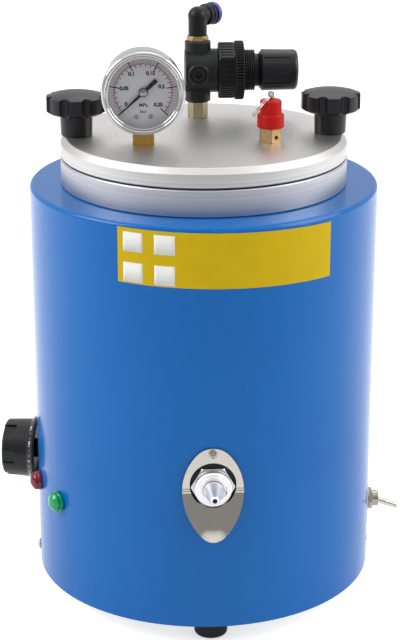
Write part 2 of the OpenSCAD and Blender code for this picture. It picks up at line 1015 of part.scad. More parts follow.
module lid_plate() {
    color(aluminium)
    difference() {
        translate([0, 0, lid_z])
            rotate_extrude()
                polygon([[0, 0], [lid_d / 2 - 0.6, 0], [lid_d / 2, 0.6],
                    [lid_d / 2, lid_t - lid_chamfer],
                    [lid_d / 2 - lid_chamfer, lid_t], [0, lid_t]]);
        for (side = [-1, 1])
            translate([side * knob_ring_r, 0, lid_z - 1])
                cylinder(r = stud_r + free_gap, h = lid_t + 2);
        for (az = [gauge_az, relief_az, regulator_az])
            at_port(az, port_r, lid_z - 1)
                cylinder(r = thread_r + seat_gap, h = lid_t + 2);
    }
}

// Lobed outline of a star knob: broad crests with round hollows between them.
module star_outline() {
    r = star_d / 2;
    pitch = 360 / star_lobes;
    difference() {
        circle(r = r);
        for (i = [0:star_lobes - 1])
            rotate([0, 0, (i + 0.5) * pitch])
                translate([r + 0.6, 0])
                    circle(r = r * 0.17);
    }
}

module star_knob(side) {
    r = star_d / 2;
    h = hub_h + star_t + star_dome;
    dome_r = (r * r + star_dome * star_dome) / (2 * star_dome);
    color(black)
    translate([side * knob_ring_r, 0, lid_top])
        difference() {
            union() {
                rotate_extrude()
                    polygon([[0, 0], [hub_d / 2 - 0.5, 0], [hub_d / 2, 0.5],
                        [hub_d / 2 + 0.4, hub_h - 1.5], [hub_d / 2 + 1.9, hub_h],
                        [hub_d / 2 + 1.9, hub_h + 1], [0, hub_h + 1]]);
                translate([0, 0, hub_h])
                    intersection() {
                        linear_extrude(star_t + star_dome)
                            star_outline();
                        translate([0, 0, star_t + star_dome - dome_r])
                            sphere(r = dome_r);
                        rotate_extrude()
                            polygon([[0, 0], [r - 2.5, 0], [r + 0.1, 1.6],
                                [r + 0.1, star_t + 2], [0, star_t + 4]]);
                    }
            }
            translate([0, 0, -1])
                cylinder(r = stud_r + seat_gap, h = h - 5);
        }
}

module knob_left() {
    star_knob(-1);
}

module knob_right() {
    star_knob(1);
}

module knob_stud(side) {
    color(steel)
    translate([side * knob_ring_r, 0, rim_top - stud_depth])
        chamfered(stud_r, stud_depth + lid_top - rim_top + hub_h + 7, 0.8);
}

module knob_left_stud() {
    knob_stud(-1);
}

module knob_right_stud() {
    knob_stud(1);
}

/* Pressure gauge, its depth measured forwards from the stem's axis */

gauge_z = lid_top + gauge_up;
case_r = bezel_d / 2 - 1.3;
case_wall = 1.2;
case_front = 12;
glass_t = 2.5;
dial_z = 8.6;
dial_t = 0.8;
neck_r = 4.8;
arbor_r = 0.8;
socket_down = 13;

module on_gauge(depth) {
    at_port(gauge_az, port_r, gauge_z)
        rotate([90, 0, 0])
            translate([0, 0, depth])
                children();
}

// Brass stem: thread in the lid, square block, and neck up into the case.
module gauge_stem() {
    block_h = gauge_up - bezel_d / 2 - 0.4;
    color(brass)
    at_port(gauge_az, port_r, lid_top) {
        translate([0, 0, -thread_len])
            chamfered(thread_r, thread_len + 1, 0.6);
        intersection() {
            translate([-stem_w / 2, -stem_w / 2, 0])
                cube([stem_w, stem_w, block_h]);
            chamfered(stem_w * 0.707, block_h, 1.2);
        }
        cylinder(r = neck_r, h = gauge_up - socket_down);
    }
}

// Socket block, curved tube and plate that carry and turn the needle's arbor.
module gauge_movement() {
    color(brass)
    on_gauge(0)
        difference() {
            union() {
                translate([-6, -socket_down, -5])
                    cube([12, 7, 10]);
                translate([-9, -8, 4])
                    cube([18, 18, 1.5]);
                for (x = [-7, 7])
                    translate([x, 7, 5])
                        cylinder(r = 1.4, h = dial_z - 5);
                for (x = [-4.5, 4.5])
                    translate([x, -9, 4])
                        cylinder(r = 1.4, h = dial_z - 4);
                translate([0, 0, -4.5])
                    rotate([0, 0, -60])
                        rotate_extrude(angle = 260)
                            translate([17, 0])
                                square([2.2, 7]);
                rotate([0, 0, -60])
                    translate([5, -1.5, -3])
                        cube([13, 3, 4]);
            }
            translate([0, 0, 3])
                cylinder(r = arbor_r + run_gap, h = 6);
        }
}

module gauge_case() {
    back = case_front - case_depth;
    color(steel)
    difference() {
        on_gauge(back)
            chamfered(case_r, case_depth, 0.6);
        on_gauge(back + case_wall)
            cylinder(r = case_r - case_wall, h = case_depth);
        on_gauge(0)
            rotate([90, 0, 0])
                cylinder(r = neck_r + seat_gap, h = gauge_up);
    }
}

bezel_skirt = 5;

module gauge_bezel() {
    r = bezel_d / 2;
    lip = case_front + glass_t;
    color(steel)
    on_gauge(0)
        rotate_extrude()
            polygon([[case_r + seat_gap, case_front - bezel_skirt],
                [r - 0.3, case_front - bezel_skirt],
                [r, case_front - bezel_skirt + 0.5], [r, lip + 0.3], [r - 0.5, lip + 1.1],
                [r - 1.4, lip + 1.5], [r - bezel_w + 0.6, lip + 1.2],
                [r - bezel_w, lip + 0.6], [r - bezel_w, lip], [case_r + seat_gap, lip]]);
}

module gauge_dial() {
    color("white")
    on_gauge(dial_z)
        difference() {
            cylinder(r = case_r - case_wall - 0.3, h = dial_t);
            translate([0, 0, -1])
                cylinder(r = arbor_r + free_gap, h = 4);
        }
}

module gauge_glass() {
    color("#dfe9ee", 0.3)
    on_gauge(case_front)
        cylinder(r = case_r, h = glass_t);
}

// Needle at rest on zero, low on the left, with its counterweight tail.
module gauge_needle() {
    zero_angle = 223;
    tail_len = 12;
    back = dial_z + dial_t + 0.6;
    color(black)
    on_gauge(0) {
        translate([0, 0, 3.2])
            cylinder(r = arbor_r, h = back - 3.2 + e);
        translate([0, 0, back])
            chamfered(3.05, 1.5, 0.4);
        rotate([0, 0, zero_angle])
            translate([0, 0, back + 0.4])
                linear_extrude(0.5)
                    polygon([[-tail_len, -1.5], [0, -1.1], [needle_len, -0.2],
                        [needle_len, 0.2], [0, 1.1], [-tail_len, 1.5]]);
    }
}

/* Regulator, its length measured along +X from the column's axis */

reg_z = lid_top + reg_up;
column_r = column_d / 2;
column_low = reg_up - column_h / 2 - 0.1;
socket_r = 5.2;
socket_h = 8.5;
bonnet_end = bonnet_x + bonnet_len;
nut_end = bonnet_end + ring_nut_w;
thread_end = nut_end + panel_thread_len;
knob_x = thread_end + 2.8;
neck_d = 23;
screw_r = 4;
boss_r = 7.5;
boss_reach = barrel_d / 2 + 2.2;
plug_r = 5.2;

module on_regulator(x) {
    at_port(regulator_az, port_r, reg_z)
        rotate([0, 90, 0])
            translate([0, 0, x])
                children();
}

// Short brass nipple that stands the regulator on the lid.
module regulator_nipple() {
    color(brass)
    at_port(regulator_az, port_r, lid_top) {
        translate([0, 0, -thread_len])
            chamfered(thread_r, thread_len + 1, 0.6);
        hexagon(hex_af - 1, column_low);
        translate([0, 0, column_low - 1])
            chamfered(socket_r - seat_gap, socket_h, 0.4);
    }
}

module regulator_body() {
    color(black)
    difference() {
        union() {
            at_port(regulator_az, port_r, lid_top + column_low)
                chamfered(column_r, column_h, 0.8);
            on_regulator(-column_r)
                chamfered(barrel_d / 2, bonnet_x + column_r, 0.6);
            on_regulator(0)
                rotate([90, 0, 0])
                    translate([0, 0, -boss_reach])
                        chamfered(boss_r, 2 * boss_reach, 0.6);
        }
        at_port(regulator_az, port_r, lid_top + column_low) {
            translate([0, 0, -1])
                cylinder(r = socket_r, h = socket_h + 1);
            translate([0, 0, column_h - socket_h])
                cylinder(r = socket_r, h = socket_h + 1);
        }
        for (side = [0, 180])
            on_regulator(0)
                rotate([90 + side, 0, 0])
                    translate([0, 0, boss_reach - 6])
                        cylinder(r = plug_r + seat_gap, h = 7);
    }
}

module regulator_plugs() {
    color("#2c2d30")
    for (side = [0, 180])
        on_regulator(0)
            rotate([90 + side, 0, 0])
                translate([0, 0, boss_reach - 6])
                    difference() {
                        chamfered(plug_r, 5.6, 0.4);
                        translate([0, 0, 2.6])
                            cylinder(d = 5 / cos(30), h = 4, $fn = 6);
                    }
}

diaphragm_r = 15.5;
diaphragm_t = 1.2;
spring_r = 9;

bonnet_turn = 53;
thread_pitch = 1.45;

// Six-sided bonnet with grooved flats, its panel thread and its neck.
module regulator_bonnet() {
    groove_w = 1;
    groove_in = 0.7;
    groove_step = 3.4;
    corner_r = bonnet_af / cos(30) / 2;
    color(black)
    on_regulator(0)
        difference() {
            union() {
                translate([0, 0, bonnet_x])
                    intersection() {
                        rotate([0, 0, bonnet_turn])
                            cylinder(r = corner_r, h = bonnet_len, $fn = 6);
                        chamfered(corner_r - 0.3, bonnet_len, 0.8);
                    }
                translate([0, 0, bonnet_end - 1])
                    cylinder(d = panel_thread_d, h = thread_end - bonnet_end + 1);
                translate([0, 0, thread_end - 1])
                    cylinder(d = neck_d, h = knob_x - thread_end + 0.7);
            }
            translate([0, 0, bonnet_x - 1])
                cylinder(r = diaphragm_r + seat_gap, h = diaphragm_t + 1);
            translate([0, 0, bonnet_x])
                cylinder(r = spring_r + 0.5, h = thread_end - bonnet_x - 2);
            translate([0, 0, thread_end - 4])
                cylinder(r = screw_r + run_gap, h = 10);
            for (i = [0:5])
                rotate([0, 0, bonnet_turn + 30 + i * 60])
                    for (k = [-2:2])
                        translate([bonnet_af / 2 - groove_in, k * groove_step - groove_w / 2,
                            bonnet_x + 1.5])
                            cube([3, groove_w, bonnet_len - 3]);
            rotate_extrude()
                for (z = [nut_end + thread_pitch / 2:thread_pitch:thread_end])
                    translate([panel_thread_d / 2, z])
                        rotate(45)
                            square(thread_pitch * 0.62, center = true);
        }
}

module regulator_ring_nut() {
    ribs = 60;
    r = ring_nut_d / 2;
    color(black)
    on_regulator(bonnet_end)
        intersection() {
            linear_extrude(ring_nut_w)
                difference() {
                    circle(r = r);
                    circle(r = panel_thread_d / 2 + seat_gap);
                    for (i = [0:ribs - 1])
                        rotate(i * 360 / ribs)
                            translate([r, 0])
                                rotate(45)
                                    square(r * 0.055, center = true);
                }
            chamfered(r, ring_nut_w, 0.7);
        }
}

module regulator_diaphragm() {
    color("#8a5a3c")
    on_regulator(bonnet_x)
        cylinder(r = diaphragm_r, h = diaphragm_t);
}

plate_x = thread_end - 6;

module regulator_spring() {
    color(steel)
    on_regulator(bonnet_x + diaphragm_t)
        tube(spring_r - 0.3, spring_r - 2.4, plate_x - bonnet_x - diaphragm_t - 0.1);
}

// Adjusting screw with the plate that presses the spring.
module adjusting_screw() {
    color(brass)
    on_regulator(plate_x) {
        chamfered(spring_r - 0.2, 1.8, 0.3);
        cylinder(r = screw_r, h = knob_x + reg_knob_len - 10 - plate_x);
    }
}

// Knob with a sloped shoulder, six broad grooves and a slightly domed end.
module regulator_knob() {
    grooves = 6;
    groove_turn = 51;
    groove_w = 5.2;
    groove_in = 1;
    shoulder = 3.4;
    corner = 3;
    r = reg_knob_d / 2;
    end_r = r - 0.4;
    flat_r = end_r - corner;
    flat_z = reg_knob_len - reg_knob_dome;
    dome_r = (flat_r * flat_r + reg_knob_dome * reg_knob_dome) / (2 * reg_knob_dome);
    color(black)
    on_regulator(knob_x)
        difference() {
            rotate_extrude() {
                polygon([[0, 0], [r - 3.2, 0], [r, 2.6], [end_r, flat_z - corner],
                    [flat_r, flat_z], [0, flat_z]]);
                intersection() {
                    translate([flat_r, flat_z - corner])
                        circle(r = corner);
                    translate([0, 5])
                        square([r, reg_knob_len]);
                }
                intersection() {
                    translate([0, reg_knob_len - dome_r])
                        circle(r = dome_r);
                    translate([0, flat_z - 1])
                        square([flat_r, 3]);
                }
            }
            translate([0, 0, -1])
                cylinder(r = screw_r + seat_gap, h = reg_knob_len - 8);
            for (i = [0:grooves - 1])
                rotate([0, 0, groove_turn + i * 360 / grooves])
                    translate([r - groove_in, -groove_w / 2, shoulder])
                        cube([groove_in + 1, groove_w, flat_z - shoulder - 5.4]);
        }
}

/* Hose elbow on top of the regulator */

elbow_low = reg_z - reg_up + column_low + column_h;
stem_hex_h = 3.7;
branch_z = elbow_low + branch_up;
pivot_r = 4.5;
pivot_top = branch_z - hose_d / 2 - 1.2;
hose_r = hose_d / 2 + 0.05;
branch_r = release_d / 2 - 0.4;
hose_depth = 8.5;
sleeve_r = hose_r + 1;
release_gap = release_travel + 0.2;

module elbow_stem() {
    color(brass)
    at_port(regulator_az, port_r, elbow_low) {
        translate([0, 0, -socket_h + 0.5])
            chamfered(socket_r - seat_gap, socket_h, 0.4);
        hexagon(hex_af, stem_hex_h);
        cylinder(r = pivot_r, h = pivot_top - elbow_low - 0.5);
    }
}

// Places a child on the branch's axis at distance s from the upright leg.
module on_branch(s) {
    at_port(regulator_az, port_r, branch_z)
        rotate([0, 0, branch_turn])
            rotate([0, 90, 0])
                translate([0, 0, s])
                    children();
}

module elbow_body() {
    low = elbow_low + stem_hex_h + 0.3;
    r = elbow_d / 2;
    knuckle = 0.3;
    color(black)
    difference() {
        union() {
            at_port(regulator_az, port_r, low)
                cylinder(r = r, h = branch_z - low);
            at_port(regulator_az, port_r, branch_z)
                sphere(r = r + knuckle);
            on_branch(0)
                cylinder(r = r - knuckle, h = branch_len - 5);
            on_branch(branch_len - 6.5)
                rotate_extrude()
                    polygon([[0, 0], [r - 0.1, 0], [branch_r, 1], [branch_r, 2.8],
                        [branch_r - 0.7, 3.2], [branch_r - 0.7, 3.8],
                        [branch_r, 4.2], [branch_r, 6], [branch_r - 0.5, 6.5], [0, 6.5]]);
        }
        at_port(regulator_az, port_r, low - 1)
            cylinder(r = pivot_r + run_gap, h = pivot_top - low + 1);
        on_branch(0)
            cylinder(r = hose_r, h = branch_len + 1);
        on_branch(hose_depth)
            cylinder(r = sleeve_r + 0.3, h = branch_len);
    }
}

// Blue release ring: flange outside, split-free sleeve inside the branch.
module release_ring() {
    back = branch_len + release_gap;
    sleeve_back = hose_depth + release_gap;
    color("#2458a8")
    on_branch(0)
        rotate_extrude()
            polygon([[hose_r + 0.15, sleeve_back], [sleeve_r, sleeve_back], [sleeve_r, back],
                [release_d / 2, back], [release_d / 2 + 0.1, back + 2.6],
                [release_d / 2 - 1, back + 4.2], [hose_r + 0.8, back + 4.2],
                [hose_r + 0.15, back + 3.4]]);
}

/* Relief valve, heights measured from the lid's top */

seat_h = 1.2;
seal_h = 2.8;
vent_r = 1.4;
vent_h = 3.7;
valve_bore_r = 4.6;
seal_r = 4.2;
pin_r = 1.5;
head_r = 2.1;
cap_top = relief_body_h + collar_h + cap_h;
head_low = cap_top + 0.9;
pin_hole_r = 1.5;
ring_turn = 19.5;
ring_z = head_low + pin_hole_r + 0.8;
pin_top = ring_z + pin_hole_r + 0.8;

module relief_body() {
    color(brass)
    at_port(relief_az, port_r, lid_top)
        difference() {
            union() {
                translate([0, 0, -thread_len])
                    chamfered(thread_r, thread_len + 1, 0.6);
                rotate([0, 0, 30])
                    hexagon(valve_af, relief_body_h);
            }
            translate([0, 0, -thread_len - 1])
                cylinder(r = 2.6, h = 30);
            translate([0, 0, seat_h])
                cylinder(r = valve_bore_r, h = 30);
            translate([0, 0, vent_h])
                rotate([90, 0, 30])
                    cylinder(r = vent_r, h = valve_af);
        }
}

module relief_cap() {
    low = relief_body_h;
    edge = 0.9;
    color(red)
    at_port(relief_az, port_r, lid_top)
        difference() {
            union() {
                translate([0, 0, low])
                    chamfered(collar_d / 2, collar_h, 0.7);
                translate([0, 0, low + collar_h - 1])
                    chamfered(cap_d / 2, cap_h + 1, edge);
            }
            translate([0, 0, low - 1])
                cylinder(r = valve_bore_r, h = cap_top - low - 1);
            cylinder(r = pin_r + run_gap, h = cap_top + 1);
        }
}

module relief_spring() {
    low = seat_h + seal_h;
    color(steel)
    at_port(relief_az, port_r, lid_top + low)
        tube(seal_r - 0.1, pin_r + 0.6, cap_top - 2 - low);
}

module relief_pin() {
    color(brass)
    at_port(relief_az, port_r, lid_top)
        difference() {
            union() {
                translate([0, 0, seat_h])
                    cylinder(r = seal_r, h = seal_h);
                translate([0, 0, seat_h])
                    cylinder(r = pin_r, h = head_low - seat_h + 1);
                translate([0, 0, head_low])
                    chamfered(head_r, pin_top - head_low, 0.5);
            }
            rotate([0, 0, -ring_turn])
                translate([0, head_r + 1, ring_z])
                    rotate([90, 0, 0])
                        cylinder(r = pin_hole_r, h = 2 * head_r + 2);
        }
}

// Split pull ring: one wire wound twice round, as rings of points on a helix.
ring_turns = 2;
ring_steps = 24;
ring_sides = 6;
ring_pitch = pull_wire + 0.42;
ring_mid_r = pull_ring_d / 2 - pull_wire / 2;
ring_lean = 51;

// A point on the ring's centre line after t turns, lying in the XY plane with
// the pin's hole at the origin and the ring reaching towards -X.
function ring_point(t) = [
    -ring_mid_r + ring_mid_r * cos(360 * t),
    ring_mid_r * sin(360 * t),
    ring_pitch * (t - ring_turns / 2)
];

// One section of the wire there, square to the circle.
function ring_section(t) = [
    for (s = [0:ring_sides - 1])
        let (
            a = 360 * s / ring_sides,
            p = ring_point(t),
            out = pull_wire / 2 * cos(a),
            up = pull_wire / 2 * sin(a)
        )
        [p[0] + out * cos(360 * t), p[1] + out * sin(360 * t), p[2] + up]
];

// The wire starts half a turn away from the pin, so no end lies in its hole.
module split_ring() {
    count = ring_turns * ring_steps;
    points = [
        for (i = [0:count])
            each ring_section(i / ring_steps + 0.5)
    ];
    sides = [
        for (i = [0:count - 1])
            for (s = [0:ring_sides - 1])
                let (
                    a = i * ring_sides + s,
                    b = i * ring_sides + (s + 1) % ring_sides,
                    c = a + ring_sides,
                    d = b + ring_sides
                )
                each [[a, c, b], [b, c, d]]
    ];
    last = count * ring_sides;
    ends = [
        for (s = [1:ring_sides - 2])
            each [[0, s, s + 1], [last, last + s + 1, last + s]]
    ];
    polyhedron(points = points, faces = concat(sides, ends));
}

module relief_ring() {
    color(steel)
    at_port(relief_az, port_r, lid_top + ring_z)
        rotate([0, -ring_lean, -ring_turn])
            translate([0, 0, -ring_pitch / 2])
                split_ring();
}

echo(least_gap_of_the_pull_ring = ring_pitch - pull_wire);
echo(pressed_length_of_the_relief_spring = cap_top - 2 - seat_h - seal_h - relief_lift);

outer_shell();
base_plate();
shell_screws();
feet();
foot_screws();
wax_pot();
rim_screws();
lid_gasket();
heater_band();
insulation_blanket();
nozzle_housing();
nozzle_collar();
nozzle_tip();
nozzle_spring();
drip_plate();
drip_plate_screw();
thermostat_body();
thermostat_bulb();
thermostat_shaft();
thermostat_knob();
green_pilot_lens();
red_pilot_lens();
pilot_lamp_bodies();
toggle_plate();
toggle_body();
toggle_nut();
toggle_lever();
cable_gland();
gland_cap();
gland_nut();
terminal_block();
lid_plate();
knob_left();
knob_left_stud();
knob_right();
knob_right_stud();
gauge_stem();
gauge_movement();
gauge_case();
gauge_bezel();
gauge_dial();
gauge_glass();
gauge_needle();
regulator_nipple();
regulator_body();
regulator_plugs();
regulator_bonnet();
regulator_ring_nut();
regulator_diaphragm();
regulator_spring();
adjusting_screw();
regulator_knob();
elbow_stem();
elbow_body();
release_ring();
relief_body();
relief_cap();
relief_spring();
relief_pin();
relief_ring();
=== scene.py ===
import json
import math

import bpy
from mathutils import Matrix, Vector

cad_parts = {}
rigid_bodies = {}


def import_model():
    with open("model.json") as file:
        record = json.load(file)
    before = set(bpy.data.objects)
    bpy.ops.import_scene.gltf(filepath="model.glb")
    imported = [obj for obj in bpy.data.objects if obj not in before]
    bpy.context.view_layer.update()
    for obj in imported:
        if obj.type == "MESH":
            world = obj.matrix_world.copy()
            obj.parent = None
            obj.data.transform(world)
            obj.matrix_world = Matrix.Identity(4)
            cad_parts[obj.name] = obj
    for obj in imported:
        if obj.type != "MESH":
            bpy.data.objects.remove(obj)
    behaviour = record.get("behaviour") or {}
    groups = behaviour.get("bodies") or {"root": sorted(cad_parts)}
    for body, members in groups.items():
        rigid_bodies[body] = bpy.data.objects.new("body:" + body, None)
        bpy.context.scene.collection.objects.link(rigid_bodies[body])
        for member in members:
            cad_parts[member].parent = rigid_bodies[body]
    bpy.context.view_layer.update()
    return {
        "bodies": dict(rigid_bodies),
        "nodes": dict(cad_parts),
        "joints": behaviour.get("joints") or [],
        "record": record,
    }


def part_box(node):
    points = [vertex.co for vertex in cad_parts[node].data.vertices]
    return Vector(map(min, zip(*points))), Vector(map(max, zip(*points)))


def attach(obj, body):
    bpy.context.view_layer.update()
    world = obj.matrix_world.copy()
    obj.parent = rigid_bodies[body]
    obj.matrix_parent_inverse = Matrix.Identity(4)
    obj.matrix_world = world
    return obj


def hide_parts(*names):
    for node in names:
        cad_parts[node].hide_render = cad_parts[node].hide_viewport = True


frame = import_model()
nodes = frame["nodes"]
record = frame["record"]
bodyOf = {node: body for body, members in record["behaviour"]["bodies"].items() for node in members}
mm = 0.001
print("frame loaded:", len(nodes), "nodes")


# the camera stands at the photograph's height and angle, in mm from the drum's foot
cameraView = {
    "place": (-64.05, -1230.6, 627.5),
    "lookDown": 19.36,
    "heading": -2.86,
    "lens": 103.4,
}


def placeCamera():
    view = cameraView
    bpy.ops.object.camera_add(
        location=Vector(view["place"]) * mm,
        rotation=(math.radians(90 - view["lookDown"]), 0, math.radians(view["heading"])),
    )
    camera = bpy.context.object
    camera.name = "photoCamera"
    camera.data.lens = view["lens"]
    camera.data.sensor_width = 36
    camera.data.clip_start = 0.01
    camera.data.clip_end = 50
    bpy.context.scene.camera = camera


placeCamera()


def srgb(code):
    # a written sRGB hex colour as Blender's linear one
    parts = [int(code[i:i + 2], 16) / 255 for i in (1, 3, 5)]
    linear = [p / 12.92 if p <= 0.04045 else ((p + 0.055) / 1.055) ** 2.4 for p in parts]
    return (*linear, 1.0)


def addNode(tree, kind, settings=None, links=None):
    # settings go to the node's own fields or to its sockets; links give (node, socket) pairs
    node = tree.nodes.new(kind)
    for name, value in (settings or {}).items():
        if isinstance(name, str) and hasattr(node, name):
            setattr(node, name, value)
        else:
            node.inputs[name].default_value = value
    for name, (source, output) in (links or {}).items():
        tree.links.new(source.outputs[output], node.inputs[name])
    return node


def newMaterial(name):
    material = bpy.data.materials.new(name)
    material.use_nodes = True
    tree = material.node_tree
    shader = tree.nodes["Principled BSDF"]
    return material, tree, shader


def tintBy(tree, shader, source, colour, other):
    # the noise drifts the base colour between two tones
    tone = addNode(tree, "ShaderNodeMix", {"data_type": "RGBA", "A": srgb(colour),
                                           "B": srgb(other)}, {"Factor": (source, "Fac")})
    tree.links.new(tone.outputs["Result"], shader.inputs["Base Color"])


def bumpBy(tree, shader, source, strength, depth):
    # the noise lifts the surface by at most depth, in mm
    bump = addNode(tree, "ShaderNodeBump", {"Strength": strength, "Distance": depth * mm},
                   {"Height": (source, "Fac")})
    tree.links.new(bump.outputs["Normal"], shader.inputs["Normal"])


def grainOf(tree, size, detail):
    # noise in the object's own space, its size in mm
    place = addNode(tree, "ShaderNodeTexCoord")
    return addNode(tree, "ShaderNodeTexNoise", {"Scale": 1 / (size * mm), "Detail": detail},
                   {"Vector": (place, "Object")})


paintLook = {"colour": "#005daa", "pale": "#0065b1", "drift": 90.0, "peel": 3.2,
             "peelDepth": 0.02, "roughness": 0.2, "specular": 0.25}


def powderCoat():
    # polyester powder coat, baked gloss: a soft orange peel breaks its reflections
    look = paintLook
    material, tree, shader = newMaterial("gloss_powder_coat")
    tintBy(tree, shader, grainOf(tree, look["drift"], 2.0), look["colour"], look["pale"])
    bumpBy(tree, shader, grainOf(tree, look["peel"], 1.0), 0.12, look["peelDepth"])
    shader.inputs["Roughness"].default_value = look["roughness"]
    shader.inputs["IOR"].default_value = 1.5
    shader.inputs["Specular IOR Level"].default_value = look["specular"]
    return material


turnedLook = {"feed": 1.6, "grooveDepth": 0.01, "roughness": 0.42}


def turnedAluminium(name, colour, dull):
    # cast aluminium faced on a lathe: fine grooves run round the axis on top and side
    look = turnedLook
    material, tree, shader = newMaterial(name)
    place = addNode(tree, "ShaderNodeTexCoord")
    flat = addNode(tree, "ShaderNodeVectorMath", {"operation": "MULTIPLY", 1: (1, 1, 0)},
                   {0: (place, "Object")})
    radius = addNode(tree, "ShaderNodeVectorMath", {"operation": "LENGTH"}, {0: (flat, "Vector")})
    height = addNode(tree, "ShaderNodeSeparateXYZ", {}, {"Vector": (place, "Object")})
    track = addNode(tree, "ShaderNodeMath", {"operation": "ADD"},
                    {0: (radius, "Value"), 1: (height, "Z")})
    grooves = addNode(tree, "ShaderNodeTexNoise",
                      {"noise_dimensions": "1D", "Scale": 1 / (look["feed"] * mm), "Detail": 5.0,
                       "Roughness": 0.7}, {"W": (track, "Value")})
    tintBy(tree, shader, grooves, dull, colour)
    bumpBy(tree, shader, grooves, 0.25, look["grooveDepth"])
    shader.inputs["Metallic"].default_value = 1.0
    shader.inputs["Roughness"].default_value = look["roughness"]
    return material


def metalFinish(name, colour, dull, roughness, grain, bumpDepth):
    # shared by the plated, polished and machined metals: small drifts of tone and a fine grain
    material, tree, shader = newMaterial(name)
    drift = grainOf(tree, grain, 4.0)
    tintBy(tree, shader, drift, dull, colour)
    bumpBy(tree, shader, drift, 0.3, bumpDepth)
    shader.inputs["Metallic"].default_value = 1.0
    shader.inputs["Roughness"].default_value = roughness
    return material


def plasticFinish(name, colour, worn, roughness, grain, bumpDepth, specular=0.5):
    # shared by the moulded and painted non-metals: a moulding grain and a faint bloom
    material, tree, shader = newMaterial(name)
    bloomSize = 12.0
    tintBy(tree, shader, grainOf(tree, bloomSize, 3.0), colour, worn)
    bumpBy(tree, shader, grainOf(tree, grain, 2.0), 0.4, bumpDepth)
    shader.inputs["Roughness"].default_value = roughness
    shader.inputs["IOR"].default_value = 1.5
    shader.inputs["Specular IOR Level"].default_value = specular
    return material


finishes = {
    "powder": powderCoat(),
    "aluminium": turnedAluminium("turned_aluminium", "#d9d8d7", "#b2b1b0"),
    # the pot's rim is left as cast under its last cut, so it is duller than the lid
    "potAluminium": turnedAluminium("turned_pot_aluminium", "#c4c5ca", "#a3a4ab"),
    # bright zinc plate over steel: slightly blue, softly mottled
    "zinc": metalFinish("zinc_plated_steel", "#c9ccd0", "#b3b6bb", 0.32, 3.0, 0.01),
    # yellow-passivated zinc: a thin iridescent film, pinkish over green
    "passivated": metalFinish("yellow_passivated_zinc", "#c2a58c", "#a3a486", 0.3, 4.0, 0.008),
    # stainless sheet polished to a mirror, with faint wiping marks
    "stainless": metalFinish("polished_stainless", "#cfccc8", "#c2bfba", 0.16, 6.0, 0.002),
    # the drip plate's sheet is the same steel, a little duller from wax and wiping
    "pressedSteel": metalFinish("pressed_stainless", "#cbc7bf", "#bcb8b0", 0.14, 7.0, 0.002),
    # decorative chrome plate: the clearest mirror on the machine
    "chrome": metalFinish("chrome_plate", "#cac9c9", "#bdbcbd", 0.1, 5.0, 0.001),
    # satin chrome: a blasted base under the plate scatters what it mirrors
    "satinChrome": metalFinish("satin_chrome_plate", "#f0f0f2", "#e2e3e5", 0.4, 1.2, 0.004),
    # nickel plate: warmer and darker than chrome
    "nickel": metalFinish("nickel_plated_brass", "#aca79d", "#9a958a", 0.22, 4.0, 0.003),
    # machined brass left bare: warm, with a thin tarnish
    "brass": metalFinish("machined_brass", "#d3ab5c", "#b98c40", 0.26, 2.5, 0.008),
    # nickel-washed brass: paler and browner than the bare metal
    "paleBrass": metalFinish("washed_brass", "#b0936c", "#977a55", 0.28, 2.5, 0.008),
    # red lacquer over the turned cap: satin, a little orange
    "redLacquer": plasticFinish("red_lacquered_metal", "#be1008", "#ae0c06", 0.38, 1.5, 0.004,
                                0.2),
    # glass-filled nylon, moulded: dark grey-black with a fine grain
    "nylon": plasticFinish("moulded_black_nylon", "#0b0c0e", "#121315", 0.42, 0.7, 0.02, 0.24),
    # phenolic star knobs: harder and glossier than nylon
    "phenolic": plasticFinish("black_phenolic", "#101013", "#17171a", 0.32, 1.2, 0.012, 0.32),
    "rubber": plasticFinish("black_rubber", "#121213", "#1a1a1b", 0.62, 0.8, 0.03, 0.25),
    "silicone": plasticFinish("black_silicone", "#131314", "#1a1a1b", 0.5, 1.0, 0.01, 0.3),
    "paintedZinc": plasticFinish("black_painted_casting", "#0f1012", "#17181a", 0.4, 0.6, 0.02,
                                 0.32),
    "blueAcetal": plasticFinish("blue_acetal", "#2c3f9e", "#3547a8", 0.35, 1.0, 0.008),
    "dialEnamel": plasticFinish("white_dial_enamel", "#c0c0c5", "#b8b8be", 0.45, 1.0, 0.004, 0.3),
    "ceramic": plasticFinish("unglazed_ceramic", "#d8d2c2", "#c9c2b0", 0.7, 0.6, 0.04),
    "wool": plasticFinish("ceramic_wool", "#dcd6c6", "#c8c0ac", 0.9, 2.5, 0.5),
    "mica": plasticFinish("clad_band_heater", "#a39c90", "#8c857a", 0.45, 4.0, 0.03),
    # inks and foils, thin enough that only their edge tells
    "blackLacquer": plasticFinish("black_lacquered_needle", "#050506", "#09090a", 0.5, 1.0,
                                  0.002, 0.2),
    "blackInk": plasticFinish("black_screen_ink", "#0c0c0d", "#121213", 0.5, 1.0, 0.002, 0.3),
    "redInk": plasticFinish("red_screen_ink", "#b8222c", "#a51d27", 0.5, 1.0, 0.002, 0.3),
    "whiteInk": plasticFinish("white_screen_ink", "#e4e4e2", "#d9d9d7", 0.5, 1.0, 0.002, 0.3),
    "yellowFoil": plasticFinish("yellow_vinyl_foil", "#cdae03", "#c0a202", 0.42, 1.5, 0.004, 0.16),
    "whiteFoil": plasticFinish("white_vinyl_foil", "#e6e6e0", "#dcdcd6", 0.4, 1.5, 0.004, 0.3),
}


def tintedLens(name, colour):
    # moulded acrylic, dyed right through and lit from behind by a lamp that is off here
    material, tree, shader = newMaterial(name)
    swirlSize = 3.0
    bumpBy(tree, shader, grainOf(tree, swirlSize, 1.0), 0.2, 0.01)
    shader.inputs["Base Color"].default_value = srgb(colour)
    shader.inputs["Roughness"].default_value = 0.08
    shader.inputs["IOR"].default_value = 1.49
    shader.inputs["Transmission Weight"].default_value = 0.35
    return material


